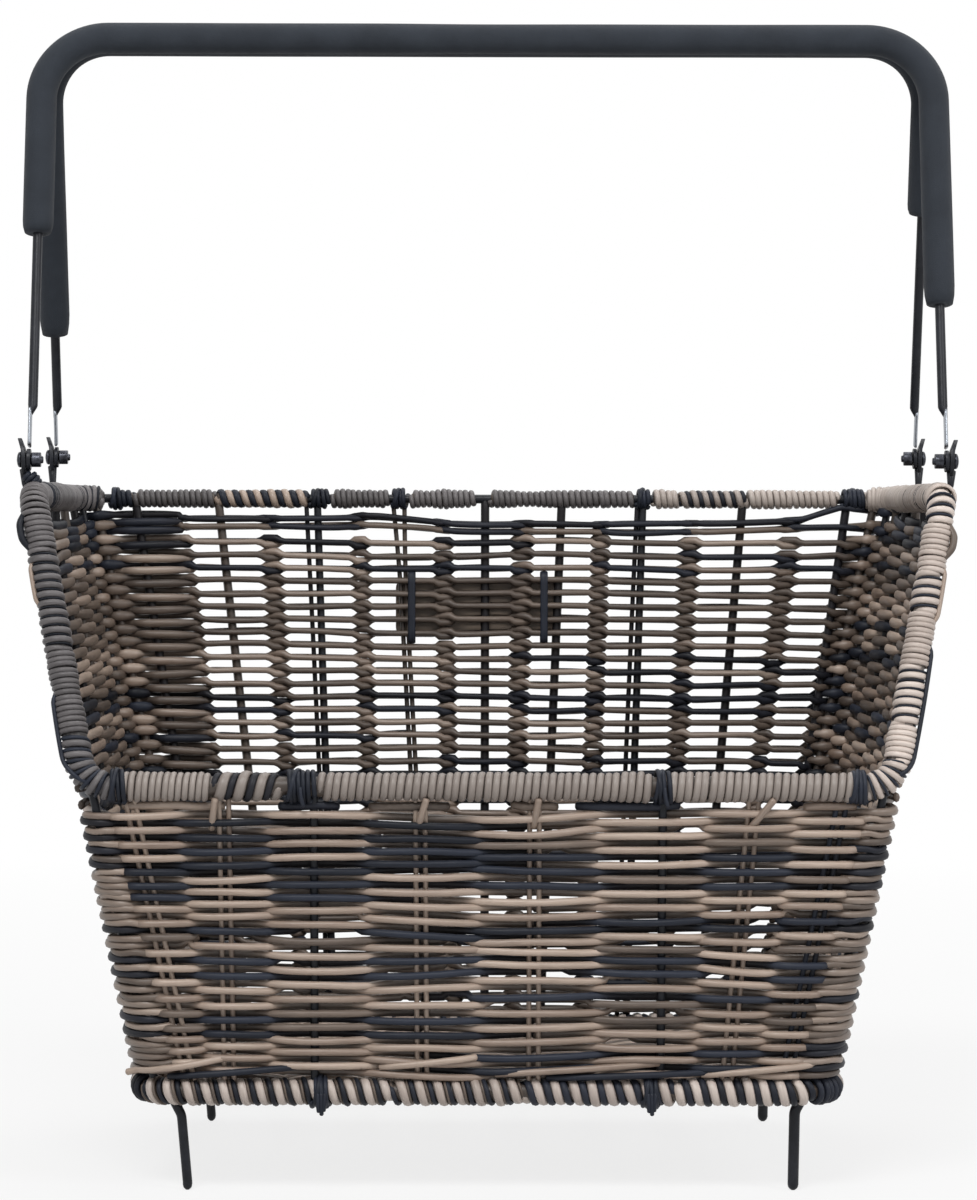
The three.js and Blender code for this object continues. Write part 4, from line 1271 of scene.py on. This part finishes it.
def sidePlane(x, y=0, z=0):
    # The plate's own x and y become the object's y and z
    turned = Matrix(((0, 0, 1, x * mm), (1, 0, 0, 0), (0, 1, 0, 0), (0, 0, 0, 1)))
    return Matrix.Translation(Vector((0, y, z)) * mm) @ turned


# Handles: a bent wire with flattened ends, and a foam sleeve on it that has slipped to one side

handle = Settings(
    hingeY=78, hingeZ=369, width=466, reach=231, wire=5.0, wireSides=18, corner=34, flatFrom=23, flatTo=29,
    thinSteps=8, thinTo=0.3, thinShift=1.6, tabLow=7.5, tabHigh=27, tabThick=2.0, tabWide=7.6, tabX=234.2,
    eye=5.6, hole=2.2, eyeRounding=0.3, grip=16.0, gripGap=0.15, gripEnd=104, gripSides=28,
    gripNoise=(0.012, 9), gripTaper=[0.86, 0.97], slip={"front": 19, "rear": -34},
)
handleLean = math.asin((handle.hingeY - handle.grip / 2 - handle.gripGap) / handle.reach)
handleSides = (("front", -1), ("rear", 1))
facing = arr(0, 1.0, 0)


def straight(start, end, count):
    return start + (end - start) * np.linspace(0, 1, count)[:, None]


def handlePlace(points, side):
    # From the handle's own plane to where it stands at rest; side is -1 for the front handle
    lean = handleLean * side
    x, y, z = points.T
    cosine, sine = math.cos(lean), math.sin(lean)
    turned = np.stack([x, y * cosine - z * sine, y * sine + z * cosine], -1)
    return turned + arr(0, side * handle.hingeY, handle.hingeZ)


def handleRoute(lowLeft, lowRight):
    half, reach = handle.width / 2, handle.reach
    foot, left = arr(-half, 0, lowLeft), arr(-half, 0, reach)
    right, end = arr(half, 0, reach), arr(half, 0, lowRight)
    first, second = bend(foot, left, right, handle.corner, 20), bend(left, right, end, handle.corner, 20)
    return np.vstack([straight(foot, first[0], 24)[:-1], first, straight(first[-1], second[0], 60)[1:-1],
                      second, straight(second[-1], end, 24)[1:]])


def handleWire():
    # The wire's lower ends thin down towards the outside
    route = handleRoute(handle.flatTo, handle.flatTo)
    steps = np.linspace(0, 1, handle.thinSteps)[1:, None]
    drop, thin = handle.flatTo - handle.flatFrom, np.linspace(1, handle.thinTo, handle.thinSteps)[1:]
    leftEnd = route[0] + np.hstack([-handle.thinShift * steps, 0 * steps, -drop * steps])
    rightEnd = route[-1] + np.hstack([handle.thinShift * steps, 0 * steps, -drop * steps])
    radius = handle.wire / 2
    across = np.r_[thin[::-1] * radius, np.full(len(route), radius), thin * radius]
    path = np.vstack([leftEnd[::-1], route, rightEnd])
    return tube(path, facing, radius, along=across, sides=handle.wireSides)


def handleSleeve(slip):
    route = handleRoute(handle.gripEnd + slip, handle.gripEnd - slip)
    swell = 1 + smoothNoise(len(route), *handle.gripNoise)
    swell[:2], swell[-2:] = handle.gripTaper, handle.gripTaper[::-1]
    return tube(route, facing, handle.grip / 2 * swell, sides=handle.gripSides, ends=0.1)


def makeHandle(name, side):
    body = f"{name}_handle"

    def placeTurned(label, made, finish, stands=()):
        made["points"] = handlePlace(made["points"], side)
        return placeTubes(f"{name}_{label}", [made], finish, body, stands)

    placeTurned("wire", handleWire(), "steel", [f"{name}_bail"])
    sleeve = placeTurned("sleeve", handleSleeve(handle.slip[name]), "foam", [f"{name}_grip"])
    for label, sign in rightLeft:
        x = sign * handle.tabX
        strip = straight(arr(x, 0, handle.tabLow), arr(x, 0, handle.tabHigh), 14)
        tab = tube(strip, facing, handle.tabWide / 2, along=handle.tabThick / 2, sides=16)
        placeTurned(f"tab_{label}", tab, "bareSteel")
        loops = [circle(handle.eye, 28), circle(handle.hole, 20)]
        eye = plateMesh(f"{name}_eye_{label}", loops, handle.tabThick, handle.eyeRounding)
        eye.transform(sidePlane(x))
        movePoints(eye, handlePlace(pointsOf(eye), side))
        place(f"{name}_eye_{label}", eye, "steel", body)


for name, side in handleSides:
    makeHandle(name, side)
print("handles bent")


# Hinges: an ear on a bent stem, a domed bolt and a six-sided nut at each end of both handles

hinge = Settings(
    earX=236.6, earThick=2.2, earRounding=0.4, hole=2.05, lean=0.33, leanFrom=4,
    earLow=(5.5, 8), earTop=[(3.9, 5.5), (0.35, 11), (-0.35, 11), (-3.9, 5.5)],
    stem=3.3, stemHead=1.5,     # diameter, and how many times wider the stem ends at the ear
    stemStart=1.0, stemBends=[(-1.2, 3.5), (-0.3, 6)], stemTop=364,
    nutX=230.5, nutThick=4.8, nutCorners=4.3, nutRounding=0.5,
    bolt=[(226.9, 1.5), (227.3, 1.85), (237.9, 1.85), (238.0, 3.7), (238.15, 4.0), (239.0, 4.0),
          (239.6, 3.6), (240.0, 2.7), (240.3, 1.3)],     # x and radius
)


def makeHinge(name, side, label, sign):
    y, z, flip = side * handle.hingeY, handle.hingeZ, arr(sign, 1, 1)
    spot = f"{name}_{label}"
    hole = circle(hinge.hole, 20)
    wide, deep = hinge.earLow
    lower = [(wide * math.cos(a), deep * math.sin(a)) for a in np.linspace(-math.pi, 0, 19)]
    ear = plateMesh(f"ear_{spot}", [lower + hinge.earTop, hole], hinge.earThick, hinge.earRounding)
    points = pointsOf(ear)
    points[:, 2] += sign * hinge.lean * np.clip(points[:, 1] - hinge.leanFrom, 0, None)
    movePoints(ear, points)
    ear.transform(sidePlane(sign * hinge.earX, y, z))
    place(f"ear_{spot}", ear, "steel", stands=[f"hinge_ear_{spot}"])
    wire = topAt(y)
    bent = [arr(hinge.earX + x, y, wire[2] + z) for x, z in hinge.stemBends]
    stem = np.array([wire + arr(hinge.stemStart, 0, 0), *bent, arr(hinge.earX, y, hinge.stemTop)])
    made = tube(stem * flip, facing, arr(1, 1, 1, hinge.stemHead) * hinge.stem / 2, sides=14)
    placeTubes(f"stem_{spot}", [made], "steel")
    nut = plateMesh(f"nut_{spot}", [circle(hinge.nutCorners, 6), hole], hinge.nutThick, hinge.nutRounding)
    nut.transform(sidePlane(sign * hinge.nutX, y, z))
    place(f"nut_{spot}", nut, "zinc", stands=[f"hinge_nut_{spot}"])
    line = np.array([(x, y, z) for x, _ in hinge.bolt]) * flip
    bolt = tube(line, upwards, [radius for _, radius in hinge.bolt], sides=24, ends=0.05)
    placeTubes(f"bolt_{spot}", [bolt], "zinc", stands=[f"hinge_bolt_{spot}"])


for name, side in handleSides:
    for label, sign in rightLeft:
        makeHinge(name, side, label, sign)
print("hinges made")


# Badge: a bare plate behind the back wall, held by two strands that go round it and the wall's rows

badge = Settings(width=92, height=32, thick=2, rounding=0.5, corner=5, x=-4, z=285, wall=5.3, inside=4.6,
                 straps={"left": -41, "right": 33}, strap=4.2, strapThick=1.3, strapOut=1.1, strapOver=3.2)


def roundedLoop(width, height, corner):
    loop = []
    for quarter, (x, y) in enumerate(((1, 1), (-1, 1), (-1, -1), (1, -1))):
        for a in np.linspace(0, math.pi / 2, 7) + quarter * math.pi / 2:
            loop.append((x * (width / 2 - corner) + corner * math.cos(a),
                         y * (height / 2 - corner) + corner * math.sin(a)))
    return loop


def makeBadge():
    _, run, rise = outline.back - outline.lowBack
    wallY = outline.lowBack[1] + run * (badge.z - outline.lowBack[2]) / rise
    turn = (Matrix.Translation(Vector((badge.x, wallY, badge.z)) * mm)
            @ Matrix.Rotation(math.pi / 2 - math.atan2(run, rise), 4, "X"))
    loops = [roundedLoop(badge.width, badge.height, badge.corner)]
    plate = plateMesh("badge", loops, badge.thick, badge.rounding)
    plate.transform(turn @ Matrix.Translation(Vector((0, 0, -badge.wall - badge.thick / 2)) * mm))
    place("badge", plate, "plate", stands=["badge_plate"])
    half = badge.height / 2 + badge.strapOver
    behind, inside = badge.wall + badge.thick + badge.strapOut, -badge.inside
    for label, x in badge.straps.items():
        loop = []
        for sign, depth, other in ((1, behind, inside), (-1, inside, behind)):
            step = 1 if depth > other else -1
            loop += [(y, depth) for y in sign * np.linspace(-half + 2, half - 2, 9)]
            loop += [(sign * half, depth - step), (sign * (half + 0.6), depth - 4 * step),
                     (sign * (half + 0.6), other + 4 * step), (sign * half, other + step)]
        path = np.array([turn @ (Vector((x - badge.x, y, -depth)) * mm) for y, depth in loop]) / mm
        strap = tube(path, unit(path - path.mean(0)), badge.strapThick / 2, along=badge.strap / 2, sides=12,
                     closed=True)
        placeTubes(f"badge_cord_{label}", [strap], black, stands=[f"badge_strap_{label}"])


makeBadge()
print("badge made")


# World and stage

stage = Settings(reach=8.0, matt=0.74, seen=(0.8, 0.2), fade=(0.45, 1.6), skyLight=0.32)     # metres


def rebuilt(owner, oldNode):
    # The shading of a material or the world, without the node that it starts with
    owner.use_nodes = True
    owner.node_tree.nodes.remove(owner.node_tree.nodes[oldNode])
    shading = Shading(owner.node_tree)
    kinds = ("Camera", "Glossy", "Transmission")
    return shading, [shading.node("LightPath", output=f"Is {kind} Ray") for kind in kinds]


def mixShaders(shading, share, first, second, output):
    mixed = shading.node("MixShader", {0: share, 1: first, 2: second})
    feed(shading.tree, shading.tree.nodes[output].inputs["Surface"], mixed)


def makeStage():
    mesh = bpy.data.meshes.new("floor")
    corners = [(x * stage.reach, y * stage.reach, 0) for x, y in ((-1, -1), (1, -1), (1, 1), (-1, 1))]
    mesh.from_pydata(corners, [], [(0, 1, 2, 3)])
    floor = addObject("floor", mesh)
    material = bpy.data.materials.new("paleFloor")
    shading, (camera, glossy, _) = rebuilt(material, "Principled BSDF")
    matt = shading.node("BsdfDiffuse", {"Color": (stage.matt, stage.matt, stage.matt, 1)})
    white = shading.node("Emission", {"Color": (1, 1, 1, 1), "Strength": 1.0})
    away = shading.node("VectorMath", {0: shading.place()}, "Value", operation="LENGTH")
    least, more = stage.seen
    share = least + shading.levels(away, *stage.fade) * more
    mixShaders(shading, camera.orLarger(glossy) * share, matt, white, "Material Output")
    mesh.materials.append(material)


def makeWorld():
    world = bpy.data.worlds.new("studio")
    bpy.context.scene.world = world
    shading, (camera, glossy, through) = rebuilt(world, "Background")
    soft, white = (shading.node("Background", {"Color": (1, 1, 1, 1), "Strength": strength})
                   for strength in (stage.skyLight, 1.0))
    mixShaders(shading, camera + glossy + through, soft, white, "World Output")


def areaLamp(name, place, aim, size, power):
    data = bpy.data.lights.new(name, "AREA")
    data.shape = "RECTANGLE"
    data.size, data.size_y = size
    data.energy = power
    lamp = addObject(name, data)
    lamp.location = place
    lamp.rotation_euler = (Vector(aim) - Vector(place)).to_track_quat("-Z", "Y").to_euler()


makeStage()
makeWorld()
areaLamp("keyLamp", (-0.5, -1.9, 2.5), (0, 0, 0.2), (1.3, 0.9), 56)
areaLamp("fillLamp", (2.1, -1.7, 1.7), (0, 0, 0.3), (1.2, 1.2), 30)
areaLamp("topLamp", (0.2, 0.7, 2.4), (0, 0, 0.3), (1.5, 1.5), 22)
bpy.context.scene.view_settings.view_transform = "Standard"
print("stage lit")
